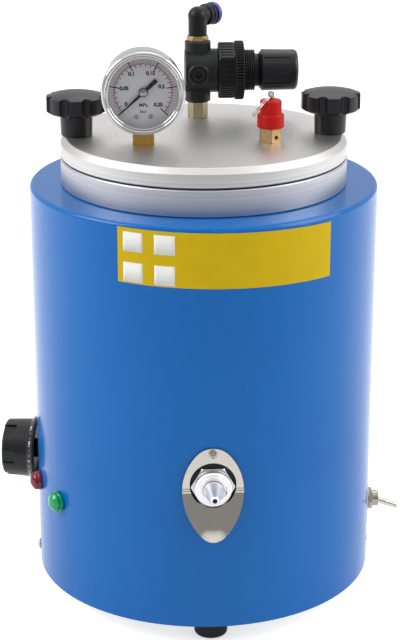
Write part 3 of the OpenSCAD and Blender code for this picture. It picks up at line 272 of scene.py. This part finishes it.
finishes["greenLens"] = tintedLens("green_acrylic", "#03b26c")
finishes["redLens"] = tintedLens("red_acrylic", "#8c0c1e")


def gaugeGlass():
    # flat instrument glass: clear enough that only its highlights tell
    material, tree, shader = newMaterial("instrument_glass")
    rippleSize = 15.0
    bumpBy(tree, shader, grainOf(tree, rippleSize, 0.0), 0.05, 0.01)
    shader.inputs["Base Color"].default_value = (0.25, 0.25, 0.25, 1)
    shader.inputs["Roughness"].default_value = 0.02
    shader.inputs["IOR"].default_value = 1.5
    shader.inputs["Alpha"].default_value = 0.035
    return material


finishes["glass"] = gaugeGlass()

nodeFinish = {
    "powder": ["outer_shell"],
    "zinc": ["base_plate", "shell_screws", "foot_screws", "rim_screws", "thermostat_shaft",
             "knob_left_stud", "knob_right_stud"],
    "passivated": ["regulator_nipple"],
    "aluminium": ["lid_plate"],
    "potAluminium": ["wax_pot"],
    "silicone": ["lid_gasket", "regulator_diaphragm"],
    "rubber": ["feet"],
    "mica": ["heater_band"],
    "wool": ["insulation_blanket"],
    "chrome": ["nozzle_housing", "gauge_bezel", "gauge_case"],
    "satinChrome": ["nozzle_collar", "nozzle_tip"],
    "nickel": ["toggle_nut", "toggle_body", "drip_plate_screw"],
    "stainless": ["nozzle_spring", "toggle_plate", "toggle_lever", "regulator_spring",
                  "relief_spring", "relief_ring"],
    "pressedSteel": ["drip_plate"],
    "ceramic": ["thermostat_body", "terminal_block"],
    "brass": ["thermostat_bulb", "gauge_stem", "gauge_movement", "adjusting_screw"],
    "paleBrass": ["relief_body", "elbow_stem", "relief_pin"],
    "nylon": ["pilot_lamp_bodies", "cable_gland", "gland_cap", "gland_nut",
              "regulator_bonnet", "regulator_ring_nut", "elbow_body"],
    "phenolic": ["thermostat_knob", "knob_left", "knob_right", "regulator_knob"],
    "paintedZinc": ["regulator_body", "regulator_plugs"],
    "dialEnamel": ["gauge_dial"],
    "glass": ["gauge_glass"],
    "blackLacquer": ["gauge_needle"],
    "greenLens": ["green_pilot_lens"],
    "redLens": ["red_pilot_lens"],
    "blueAcetal": ["release_ring"],
    "redLacquer": ["relief_cap"],
}
finishOf = {name: finish for finish, names in nodeFinish.items() for name in names}


def dressNodes():
    for name, finish in finishOf.items():
        mesh = nodes[name].data
        mesh.materials.clear()
        mesh.materials.append(finishes[finish])


dressNodes()
print("finishes on", len(finishOf), "CAD nodes")


def pick(piece, kind, test):
    # in edit mode, selects the faces or corners that the test says yes to
    bpy.ops.mesh.select_mode(type=kind)
    bpy.ops.mesh.select_all(action="DESELECT")
    bpy.ops.object.mode_set(mode="OBJECT")
    mesh = piece.data
    if kind == "FACE":
        for face in mesh.polygons:
            face.select = test(face.center / mm, face.normal)
    else:
        for corner in mesh.vertices:
            corner.select = test(corner.co / mm)
    bpy.ops.object.mode_set(mode="EDIT")


def flipFaces(piece, wrong):
    # turns round the faces that the test finds looking the wrong way
    bpy.ops.object.mode_set(mode="EDIT")
    pick(piece, "FACE", wrong)
    bpy.ops.mesh.flip_normals()
    bpy.ops.object.mode_set(mode="OBJECT")


def looksDown(centre, normal):
    return normal.z < 0


def looksInwards(centre, normal):
    return normal.xy.dot(centre.xy) < 0


def startPiece():
    # nothing is selected when a piece begins, so no operator reaches a CAD node
    if bpy.context.mode != "OBJECT":
        bpy.ops.object.mode_set(mode="OBJECT")
    bpy.ops.object.select_all(action="DESELECT")


def closeSkin(merge=0.002):
    # in edit mode: doubles merged, then every face turned outwards
    bpy.ops.mesh.select_mode(type="VERT")
    bpy.ops.mesh.select_all(action="SELECT")
    bpy.ops.mesh.remove_doubles(threshold=merge * mm)
    bpy.ops.mesh.normals_make_consistent(inside=False)
    bpy.ops.object.mode_set(mode="OBJECT")


def addModifier(piece, kind, settings):
    modifier = piece.modifiers.new(kind.lower(), kind)
    for name, value in settings.items():
        setattr(modifier, name, value)
    bpy.ops.object.modifier_apply(modifier=modifier.name)


def smoothSkin(piece, angle=35, weighted=True):
    bpy.ops.object.shade_smooth_by_angle(angle=math.radians(angle))
    if weighted:
        addModifier(piece, "WEIGHTED_NORMAL", {"keep_sharp": True, "weight": 60})


def thicken(piece, thick):
    # a sheet grows backwards, away from its front
    addModifier(piece, "SOLIDIFY", {"thickness": thick * mm, "offset": -1.0})


def settle(piece, name, finish, body):
    # place, turn and size go into the mesh; then the piece is named, finished and put on a body
    bpy.ops.object.transform_apply(location=True, rotation=True, scale=True)
    piece.name = name
    piece.data.name = name
    piece.data.materials.clear()
    piece.data.materials.append(finishes[finish])
    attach(piece, body)


softening = {"merge": 0.002, "flat": 1.0, "sharp": 32.0, "segments": 2}

# how far a maker breaks the sharp edges of each solid, in mm
brokenEdges = {
    "lid_plate": 0.5,
    "wax_pot": 0.4,
    "nozzle_housing": 0.25,
    "nozzle_collar": 0.25,
    "nozzle_tip": 0.2,
    "drip_plate": 0.3,
    "drip_plate_screw": 0.15,
    "shell_screws": 0.15,
    "thermostat_knob": 0.6,
    "green_pilot_lens": 0.2,
    "red_pilot_lens": 0.2,
    "toggle_plate": 0.15,
    "toggle_nut": 0.2,
    "cable_gland": 0.3,
    "gland_cap": 0.4,
    "knob_left": 0.6,
    "knob_right": 0.6,
    "gauge_stem": 0.4,
    "gauge_case": 0.4,
    "gauge_needle": 0.1,
    "regulator_nipple": 0.3,
    "regulator_body": 0.6,
    "regulator_plugs": 0.2,
    "regulator_bonnet": 0.2,
    "regulator_ring_nut": 0.15,
    "regulator_knob": 0.45,
    "elbow_stem": 0.3,
    "elbow_body": 0.3,
    "release_ring": 0.3,
    "relief_body": 0.3,
    "relief_cap": 0.3,
    "relief_pin": 0.25,
}


dish = {"rise": 12.0, "step": 1.0, "half": 10.0, "depth": 2.2, "held": 0.6}


def dishTip(piece):
    # the press dishes the drip plate's lower end: a fine grid there, its tip pushed back
    look = dish
    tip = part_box("drip_plate")[0][2] / mm
    rise = look["rise"]
    step = look["step"]
    count = int(look["half"] / step)
    bpy.ops.object.mode_set(mode="EDIT")
    for i in range(1, int(rise / step) + 1):
        bpy.ops.mesh.select_all(action="SELECT")
        bpy.ops.mesh.bisect(plane_co=(0, 0, (tip + i * step) * mm), plane_no=(0, 0, 1))
    for i in range(-count, count + 1):
        pick(piece, "FACE", lambda centre, normal: centre.z < tip + rise)
        bpy.ops.mesh.bisect(plane_co=(i * step * mm, 0, 0), plane_no=(1, 0, 0))
    pick(piece, "VERT", lambda co: co.z < tip + look["held"])
    bpy.ops.transform.translate(value=(0, look["depth"] * mm, 0), use_proportional_edit=True,
                                proportional_edit_falloff="SHARP",
                                proportional_size=rise * mm)
    bpy.ops.object.mode_set(mode="OBJECT")


def softenNode(name, width):
    # a merged copy of the CAD solid with its sharp edges broken stands for the solid
    look = softening
    startPiece()
    piece = bpy.data.objects.new(name + "_finished", nodes[name].data.copy())
    bpy.context.collection.objects.link(piece)
    piece.select_set(True)
    bpy.context.view_layer.objects.active = piece
    bpy.ops.object.mode_set(mode="EDIT")
    bpy.ops.mesh.select_all(action="SELECT")
    bpy.ops.mesh.remove_doubles(threshold=look["merge"] * mm)
    bpy.ops.mesh.dissolve_limited(angle_limit=math.radians(look["flat"]))
    bpy.ops.object.mode_set(mode="OBJECT")
    if name == "drip_plate":
        dishTip(piece)
    addModifier(piece, "BEVEL", {"width": width * mm, "segments": look["segments"],
                                 "limit_method": "ANGLE",
                                 "angle_limit": math.radians(look["sharp"]),
                                 "use_clamp_overlap": True, "miter_outer": "MITER_ARC"})
    smoothSkin(piece)
    settle(piece, name + "_finished", finishOf[name], bodyOf[name])
    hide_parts(name)


for name, width in brokenEdges.items():
    softenNode(name, width)
print("edges broken on", len(brokenEdges), "solids")


def drawProfile(profile, closed):
    # a section drawn by extruding one corner from point to point; (radius, height) in mm
    startPiece()
    bpy.ops.mesh.primitive_plane_add(size=1 * mm)
    piece = bpy.context.object
    bpy.ops.object.mode_set(mode="EDIT")
    bpy.ops.mesh.select_mode(type="VERT")
    bpy.ops.mesh.select_all(action="SELECT")
    bpy.ops.mesh.merge(type="CENTER")
    points = [Vector((r, 0, z)) * mm for r, z in profile]
    bpy.ops.transform.translate(value=points[0])
    for here, there in zip(points, points[1:]):
        bpy.ops.mesh.extrude_vertices_move(TRANSFORM_OT_translate={"value": there - here})
    if closed:
        ends = [points[0] / mm, points[-1] / mm]
        pick(piece, "VERT", lambda co: min((co - end).length for end in ends) < 0.001)
        bpy.ops.mesh.edge_face_add()
    return piece


def turnProfile(profile, steps=96, angle=360, closed=True):
    # the section is spun about Z
    piece = drawProfile(profile, closed)
    bpy.ops.mesh.select_all(action="SELECT")
    bpy.ops.mesh.spin(steps=steps, angle=math.radians(angle), center=(0, 0, 0), axis=(0, 0, 1))
    closeSkin()
    return piece


def putAt(piece, place, turn=(0, 0, 0)):
    piece.location = Vector(place) * mm
    piece.rotation_euler = [math.radians(a) for a in turn]


gauge = {
    "glassBack": 12.0,     # depth of the glass's back from the stem's axis
    "dialFace": 9.4,
    "zero": 223.0,
    "sweep": 267.0,
    "numbers": [("0", -11.4, -7.9), ("0.05", -12.5, 2.6), ("0.1", -7.6, 12.2),
                ("0.15", 5.0, 12.6), ("0.2", 12.2, 3.6), ("0.25", 9.9, -8.5)],
    "units": {"MPa": -8.7, "bar": -13.0},
    "numberSize": 3.4,
    "numberWeight": 0.19,
    "unitWeight": 0.08,
    "ink": 0.03,
    "lift": 0.04,          # of the print's front over the dial, and each layer over the last
    "layer": 0.01,
    "blackArc": (18.75, 19.05),
    "redArc": (19.35, 19.6),
    "arcSteps": 96,
    # inner and outer radius, width, and how many steps over the sweep
    "blackTicks": (16.9, 18.9, 0.42, 25),
    "longTicks": (15.7, 22.6, 0.75, 5),
    "redTicks": (19.4, 21.2, 0.35, 50),
    "longRedTicks": (19.4, 22.6, 0.6, 5),
    "screws": [(-4.8, -16.2), (4.8, -16.2)],
    "boss": [(0.0, 11.2), (2.5, 11.2), (2.5, 11.6), (2.1, 11.85), (0.0, 11.9)],
    "bezel": [(26.7, 7.0), (27.5, 7.0), (27.9, 7.4), (27.9, 14.2), (27.7, 15.0), (27.2, 15.6),
              (26.5, 15.95), (25.8, 15.9), (25.2, 15.5), (24.9, 15.0), (24.6, 15.0),
              (24.3, 15.35), (23.9, 15.5), (23.5, 15.3), (23.2, 14.9), (23.2, 14.52),
              (26.7, 14.52)],
}


def gaugeCentre():
    low, high = (Vector(c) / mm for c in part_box("gauge_glass"))
    return (low.x + high.x) / 2, high.y + gauge["glassBack"], (low.z + high.z) / 2


def onGauge(piece, name, finish):
    # local Z points forwards out of the dial
    putAt(piece, gaugeCentre(), (90, 0, 0))
    settle(piece, name, finish, "lid")


def dialArc(inner, outer, lift):
    # a flat arc: one short line spun part of the way round
    piece = turnProfile([(inner, lift), (outer, lift)], gauge["arcSteps"], gauge["sweep"],
                        closed=False)
    startPiece()
    piece.select_set(True)
    bpy.context.view_layer.objects.active = piece
    piece.rotation_euler.z = math.radians(gauge["zero"])
    bpy.ops.object.transform_apply(rotation=True)
    return piece


def dialTicks(inner, outer, width, count, lift):
    # one mark drawn at the scale's end, and its copies spun over the sweep
    startPiece()
    bpy.ops.mesh.primitive_plane_add(size=1, location=((inner + outer) / 2 * mm, 0, lift * mm))
    piece = bpy.context.object
    piece.scale = ((outer - inner) * mm, width * mm, 1)
    bpy.ops.object.transform_apply(location=True, rotation=True, scale=True)
    bpy.ops.object.mode_set(mode="EDIT")
    bpy.ops.mesh.select_all(action="SELECT")
    bpy.ops.mesh.spin(steps=count, angle=math.radians(gauge["sweep"]), center=(0, 0, 0),
                      axis=(0, 0, 1), dupli=True)
    bpy.ops.object.mode_set(mode="OBJECT")
    piece.rotation_euler.z = math.radians(gauge["zero"])
    bpy.ops.object.transform_apply(rotation=True)
    return piece


def letter(text, size, place, weight):
    startPiece()
    bpy.ops.object.text_add()
    piece = bpy.context.object
    piece.data.body = text
    piece.data.size = size * mm
    piece.data.offset = weight * mm
    piece.data.align_x = "CENTER"
    piece.data.align_y = "CENTER"
    bpy.ops.object.convert(target="MESH")
    piece = bpy.context.object
    putAt(piece, place)
    bpy.ops.object.transform_apply(location=True, rotation=True, scale=True)
    return piece


def joinPieces(pieces):
    startPiece()
    for piece in pieces:
        piece.select_set(True)
    bpy.context.view_layer.objects.active = pieces[0]
    bpy.ops.object.join()
    return bpy.context.object


def printInk(marks, name, finish):
    piece = joinPieces(marks)
    flipFaces(piece, looksDown)
    thicken(piece, gauge["ink"])
    onGauge(piece, name, finish)


def printDial():
    look = gauge
    face = look["dialFace"] + look["lift"]
    layer = look["layer"]
    size = look["numberSize"]
    units = {unit: (0, y, face) for unit, y in look["units"].items()}
    black = [dialArc(*look["blackArc"], face),
             dialTicks(*look["blackTicks"], face + layer),
             dialTicks(*look["longTicks"], face + layer * 2)]
    for number, x, y in look["numbers"]:
        black.append(letter(number, size, (x, y, face), look["numberWeight"]))
    black.append(letter("MPa", size, units["MPa"], look["unitWeight"]))
    printInk(black, "dial_print_black", "blackInk")
    red = [dialArc(*look["redArc"], face),
           dialTicks(*look["redTicks"], face + layer),
           dialTicks(*look["longRedTicks"], face + layer * 2),
           letter("bar", size, units["bar"], look["unitWeight"])]
    printInk(red, "dial_print_red", "redInk")


screwHead = {"radius": 1.5, "height": 0.7, "edge": 0.25, "crown": 0.12, "socket": 0.55,
             "socketDepth": 0.25}


def dialScrews():
    # two small screws hold the dial: a disc, its edge broken and its socket pressed in
    look = screwHead
    heads = []
    for x, y in gauge["screws"]:
        startPiece()
        middle = Vector((x, y, gauge["dialFace"] + look["height"] / 2)) * mm
        bpy.ops.mesh.primitive_cylinder_add(vertices=24, radius=look["radius"] * mm,
                                            depth=look["height"] * mm, location=middle)
        head = bpy.context.object
        bpy.ops.object.transform_apply(location=True, rotation=True, scale=True)
        bpy.ops.object.mode_set(mode="EDIT")
        pick(head, "FACE", lambda centre, normal: normal.z > 0.9)
        bpy.ops.mesh.inset(thickness=look["edge"] * mm, depth=look["crown"] * mm)
        bpy.ops.mesh.inset(thickness=look["socket"] * mm, depth=-look["socketDepth"] * mm)
        closeSkin()
        heads.append(head)
    piece = joinPieces(heads)
    smoothSkin(piece, 35, False)
    onGauge(piece, "dial_screws", "nickel")


def dressGauge():
    bezel = turnProfile(gauge["bezel"])
    smoothSkin(bezel, 50, False)
    putAt(bezel, gaugeCentre(), (90, 0, 0))
    settle(bezel, "gauge_bezel_rolled", "chrome", "lid")
    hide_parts("gauge_bezel")
    printDial()
    dialScrews()
    boss = turnProfile(gauge["boss"], 32, closed=False)
    smoothSkin(boss, 40, False)
    putAt(boss, gaugeCentre(), (90, 0, 0))
    settle(boss, "needle_boss", "nickel", "needle")


dressGauge()
print("gauge dressed")


ringWire = {"outer": 19.6, "wire": 0.8, "pitch": 1.22, "turns": 2, "lean": 51.0, "turn": 19.5,
            "eyeDown": 2.3}    # how far the pin's eye lies below its top


def windPullRing():
    # stainless wire wound twice round: a small circle driven along a screw
    look = ringWire
    middle = look["outer"] / 2 - look["wire"] / 2
    startPiece()
    bpy.ops.mesh.primitive_circle_add(vertices=12, radius=look["wire"] / 2 * mm,
                                      rotation=(math.radians(90), 0, 0),
                                      location=(-middle * mm, 0, 0))
    piece = bpy.context.object
    bpy.ops.object.transform_apply(location=True, rotation=True, scale=True)
    addModifier(piece, "SCREW", {"angle": math.radians(360), "iterations": look["turns"],
                                 "screw_offset": look["pitch"] * mm, "steps": 64,
                                 "render_steps": 64, "axis": "Z"})
    bpy.ops.object.mode_set(mode="EDIT")
    bpy.ops.mesh.select_all(action="SELECT")
    bpy.ops.mesh.fill_holes(sides=16)
    closeSkin(0.001)
    smoothSkin(piece, 50, False)
    low, high = (Vector(c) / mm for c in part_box("relief_pin"))
    hinge = Vector(((low.x + high.x) / 2, (low.y + high.y) / 2, high.z - look["eyeDown"]))
    piece.matrix_world = (Matrix.Translation(hinge * mm)
                          @ Matrix.Rotation(math.radians(-look["turn"]), 4, "Z")
                          @ Matrix.Rotation(math.radians(-look["lean"]), 4, "Y")
                          @ Matrix.Translation(Vector((-middle, 0, -look["pitch"])) * mm))
    settle(piece, "relief_ring_wound", "stainless", "pull_ring")
    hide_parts("relief_ring")


windPullRing()
print("pull ring wound")


label = {
    "radius": 120.0,       # of the drum
    "lift": 0.06,
    "thick": 0.1,
    "start": -30.3,
    "end": 40.4,
    "top": 295.5,
    "height": 37.0,
    "drop": 2.5,
    "squares": [(-28.4, 2.6, 13.0), (-18.2, 2.6, 13.0), (-28.4, 22.9, 13.2), (-18.2, 22.9, 13.2)],
    "squareTurn": 6.5,
    "squareLift": 0.05,
    "squareThick": 0.04,
    "stepsPerDegree": 1.2,
}


def wrapStrip(start, end, top, height, lift):
    # an upright line spun round the drum; it sinks a little on its way, as the foil was laid
    look = label
    sink = look["drop"] * (start - look["start"]) / (look["end"] - look["start"])
    fall = look["drop"] * (end - start) / (look["end"] - look["start"])
    radius = look["radius"] + look["lift"] + lift
    steps = max(4, int((end - start) * look["stepsPerDegree"]))
    piece = drawProfile([(radius, top - sink - height), (radius, top - sink)], False)
    bpy.ops.object.mode_set(mode="OBJECT")
    addModifier(piece, "SCREW", {"angle": math.radians(end - start), "steps": steps,
                                 "render_steps": steps, "screw_offset": -fall * mm, "axis": "Z"})
    piece.rotation_euler.z = math.radians(start - 90)
    bpy.ops.object.transform_apply(rotation=True)
    flipFaces(piece, looksInwards)
    return piece


def layLabel():
    # a plain yellow foil with four white squares on it
    look = label
    field = wrapStrip(look["start"], look["end"], look["top"], look["height"], look["thick"])
    thicken(field, look["thick"])
    smoothSkin(field, 40, False)
    settle(field, "foil_field", "yellowFoil", "machine")
    squares = []
    for start, down, height in look["squares"]:
        squares.append(wrapStrip(start, start + look["squareTurn"], look["top"] - down, height,
                                 look["thick"] + look["squareLift"]))
    piece = joinPieces(squares)
    thicken(piece, look["squareThick"])
    settle(piece, "foil_squares", "whiteFoil", "machine")


layLabel()
print("foil laid")


# the black ring of painted shade round the nozzle: its bore, edge, rings, thickness and lift off
# the drum, in mm
gapShadeRing = {"bore": 9.8, "edge": 17.0, "rings": 4, "thick": 0.12, "lift": 0.15}


def layGapShadeRing():
    # a thin black silicone ring lies on the drum round the nozzle, its edge under the drip plate:
    # painted shade, standing for the dark gap seen through the drip plate's hole
    look = gapShadeRing
    width = look["edge"] - look["bore"]
    rings = [look["bore"] + width * i / look["rings"] for i in range(look["rings"] + 1)]
    piece = turnProfile([(radius, 0) for radius in rings], 64, closed=False)
    low, high = (Vector(c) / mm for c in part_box("nozzle_housing"))
    putAt(piece, (0, -label["radius"], (low.z + high.z) / 2), (90, 0, 0))
    bpy.ops.object.transform_apply(location=True, rotation=True, scale=True)
    addModifier(piece, "CAST", {"cast_type": "CYLINDER", "factor": 1.0,
                                "use_radius_as_size": False,
                                "size": (label["radius"] + look["lift"]) * mm})
    flipFaces(piece, looksInwards)
    thicken(piece, look["thick"])
    smoothSkin(piece, 40, False)
    settle(piece, "nozzle_gap_shade_ring", "silicone", "machine")


layGapShadeRing()
print("gasket cut")


skirtScale = {
    "numbers": ["0", "30", "40", "50", "60", "70", "80", "90", "100", "110", "120", "130"],
    "size": 2.9,
    "tick": 0.5,           # size of a tick beside a number's
    "weight": 0.08,
    "lift": 0.04,
    "ink": 0.06,
    "radius": 23.9,        # middle of the knob's coned skirt, and its height over the wall
    "height": 4.7,
    "slope": 42.4,
}


def skirtPlace(angle):
    # a place on the cone: X runs round the skirt, Y along it towards the grip
    look = skirtScale
    low, high = (Vector(c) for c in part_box("thermostat_knob"))
    centre = (low + high) / 2
    outwards = Vector((centre.x, centre.y, 0)).normalized()
    wall = outwards * label["radius"] * mm
    wall.z = centre.z
    side = Vector((0, 0, 1)).cross(outwards)
    frame = Matrix((side, Vector((0, 0, 1)), outwards)).transposed().to_4x4()
    slope = math.radians(look["slope"])
    along = Vector((-math.sin(slope), 0, math.cos(slope)))
    cone = Matrix((Vector((0, 1, 0)), along, Vector((math.cos(slope), 0, math.sin(slope)))))
    return (Matrix.Translation(wall) @ frame @ Matrix.Rotation(math.radians(angle), 4, "Z")
            @ Matrix.Translation(Vector((look["radius"], 0, look["height"])) * mm)
            @ cone.transposed().to_4x4())


def printSkirt():
    look = skirtScale
    step = 360 / len(look["numbers"])
    marks = []
    for i, number in enumerate(look["numbers"]):
        for text, turn in ((number, 0), ("|", step / 3), ("|", step * 2 / 3)):
            size = look["size"] if text == number else look["size"] * look["tick"]
            mark = letter(text, size, (0, 0, look["lift"]), look["weight"])
            mark.matrix_world = skirtPlace(-i * step - turn)
            bpy.ops.object.transform_apply(location=True, rotation=True, scale=True)
            marks.append(mark)
    piece = joinPieces(marks)
    thicken(piece, look["ink"])
    settle(piece, "knob_scale", "whiteInk", bodyOf["thermostat_knob"])


printSkirt()
print("skirt printed")


studio = {
    "floorSize": 12.0,
    "floorDrop": 0.0002,
    "floorColour": "#d9d9db",
    "floorLift": 0.58,     # how far the floor glows to the eye, and in a mirror behind
    "floorGlow": 0.7,
    "glowRange": (-0.8, 0.2),
    "aimHeight": 0.2,
    "lamps": {
        "keyLamp": {"place": (-2.3, -0.4, 1.9), "size": 1.6, "power": 62},
        "fillLamp": {"place": (2.3, -0.4, 1.6), "size": 1.8, "power": 50},
        "backLamp": {"place": (0.4, 1.5, 2.4), "size": 1.6, "power": 9},
    },
    "ambient": 0.56,
    "darkSide": 0.5,       # what a mirror sees in front of the machine
    "sideRange": (-0.9, -0.25),
    "skyline": 0.78,       # low down behind it
    "zenith": 1.35,        # and overhead
    "skyRange": (0.25, 0.85),
}


def rampOf(tree, source, span, values):
    # a straight ramp between two values over a span of the source
    return addNode(tree, "ShaderNodeMapRange",
                   {"From Min": span[0], "From Max": span[1], "To Min": values[0],
                    "To Max": values[1]}, {"Value": source})


def layFloor():
    startPiece()
    bpy.ops.mesh.primitive_plane_add(size=studio["floorSize"],
                                     location=(0, 0, -studio["floorDrop"]))
    floor = bpy.context.object
    floor.name = "paleFloor"
    material, tree, shader = newMaterial("pale_paper")
    shader.inputs["Base Color"].default_value = srgb(studio["floorColour"])
    shader.inputs["Roughness"].default_value = 0.9
    rays = addNode(tree, "ShaderNodeLightPath")
    place = addNode(tree, "ShaderNodeTexCoord")
    parts = addNode(tree, "ShaderNodeSeparateXYZ", {}, {"Vector": (place, "Object")})
    depth = rampOf(tree, (parts, "Y"), studio["glowRange"], (0.0, studio["floorGlow"]))
    glow = addNode(tree, "ShaderNodeMath", {"operation": "MULTIPLY"},
                   {0: (rays, "Is Glossy Ray"), 1: (depth, "Result")})
    lift = addNode(tree, "ShaderNodeMath", {"operation": "MULTIPLY_ADD", 1: studio["floorLift"]},
                   {0: (rays, "Is Camera Ray"), 2: (glow, "Value")})
    shader.inputs["Emission Color"].default_value = (1, 1, 1, 1)
    tree.links.new(lift.outputs["Value"], shader.inputs["Emission Strength"])
    floor.data.materials.append(material)


def hangLamps():
    for name, lamp in studio["lamps"].items():
        place = Vector(lamp["place"])
        aim = Vector((0, 0, studio["aimHeight"])) - place
        bpy.ops.object.light_add(type="AREA", location=place,
                                 rotation=aim.to_track_quat("-Z", "Y").to_euler())
        light = bpy.context.object
        light.name = name
        light.data.shape = "SQUARE"
        light.data.size = lamp["size"]
        light.data.energy = lamp["power"]


def lightWorld():
    # white to the eye; mirrors also find a darker side in front, as in a real studio
    world = bpy.data.worlds.new("softStudio")
    bpy.context.scene.world = world
    world.use_nodes = True
    tree = world.node_tree
    rays = addNode(tree, "ShaderNodeLightPath")
    seen = addNode(tree, "ShaderNodeMath", {"operation": "MAXIMUM"},
                   {0: (rays, "Is Camera Ray"), 1: (rays, "Is Transmission Ray")})
    plain = rampOf(tree, (seen, "Value"), (0.0, 1.0), (studio["ambient"], 1.0))
    place = addNode(tree, "ShaderNodeTexCoord")
    parts = addNode(tree, "ShaderNodeSeparateXYZ", {}, {"Vector": (place, "Generated")})
    mirrored = rampOf(tree, (parts, "Y"), studio["sideRange"], (studio["darkSide"], 1.0))
    above = rampOf(tree, (parts, "Z"), studio["skyRange"], (studio["skyline"], studio["zenith"]))
    both = addNode(tree, "ShaderNodeMath", {"operation": "MULTIPLY"},
                   {0: (mirrored, "Result"), 1: (above, "Result")})
    strength = addNode(tree, "ShaderNodeMix", {"data_type": "FLOAT"},
                       {"Factor": (rays, "Is Glossy Ray"), "A": (plain, "Result"),
                        "B": (both, "Value")})
    background = tree.nodes["Background"]
    background.inputs["Color"].default_value = (1, 1, 1, 1)
    tree.links.new(strength.outputs["Result"], background.inputs["Strength"])


layFloor()
hangLamps()
lightWorld()
bpy.context.scene.view_settings.view_transform = "Standard"
print("studio set")
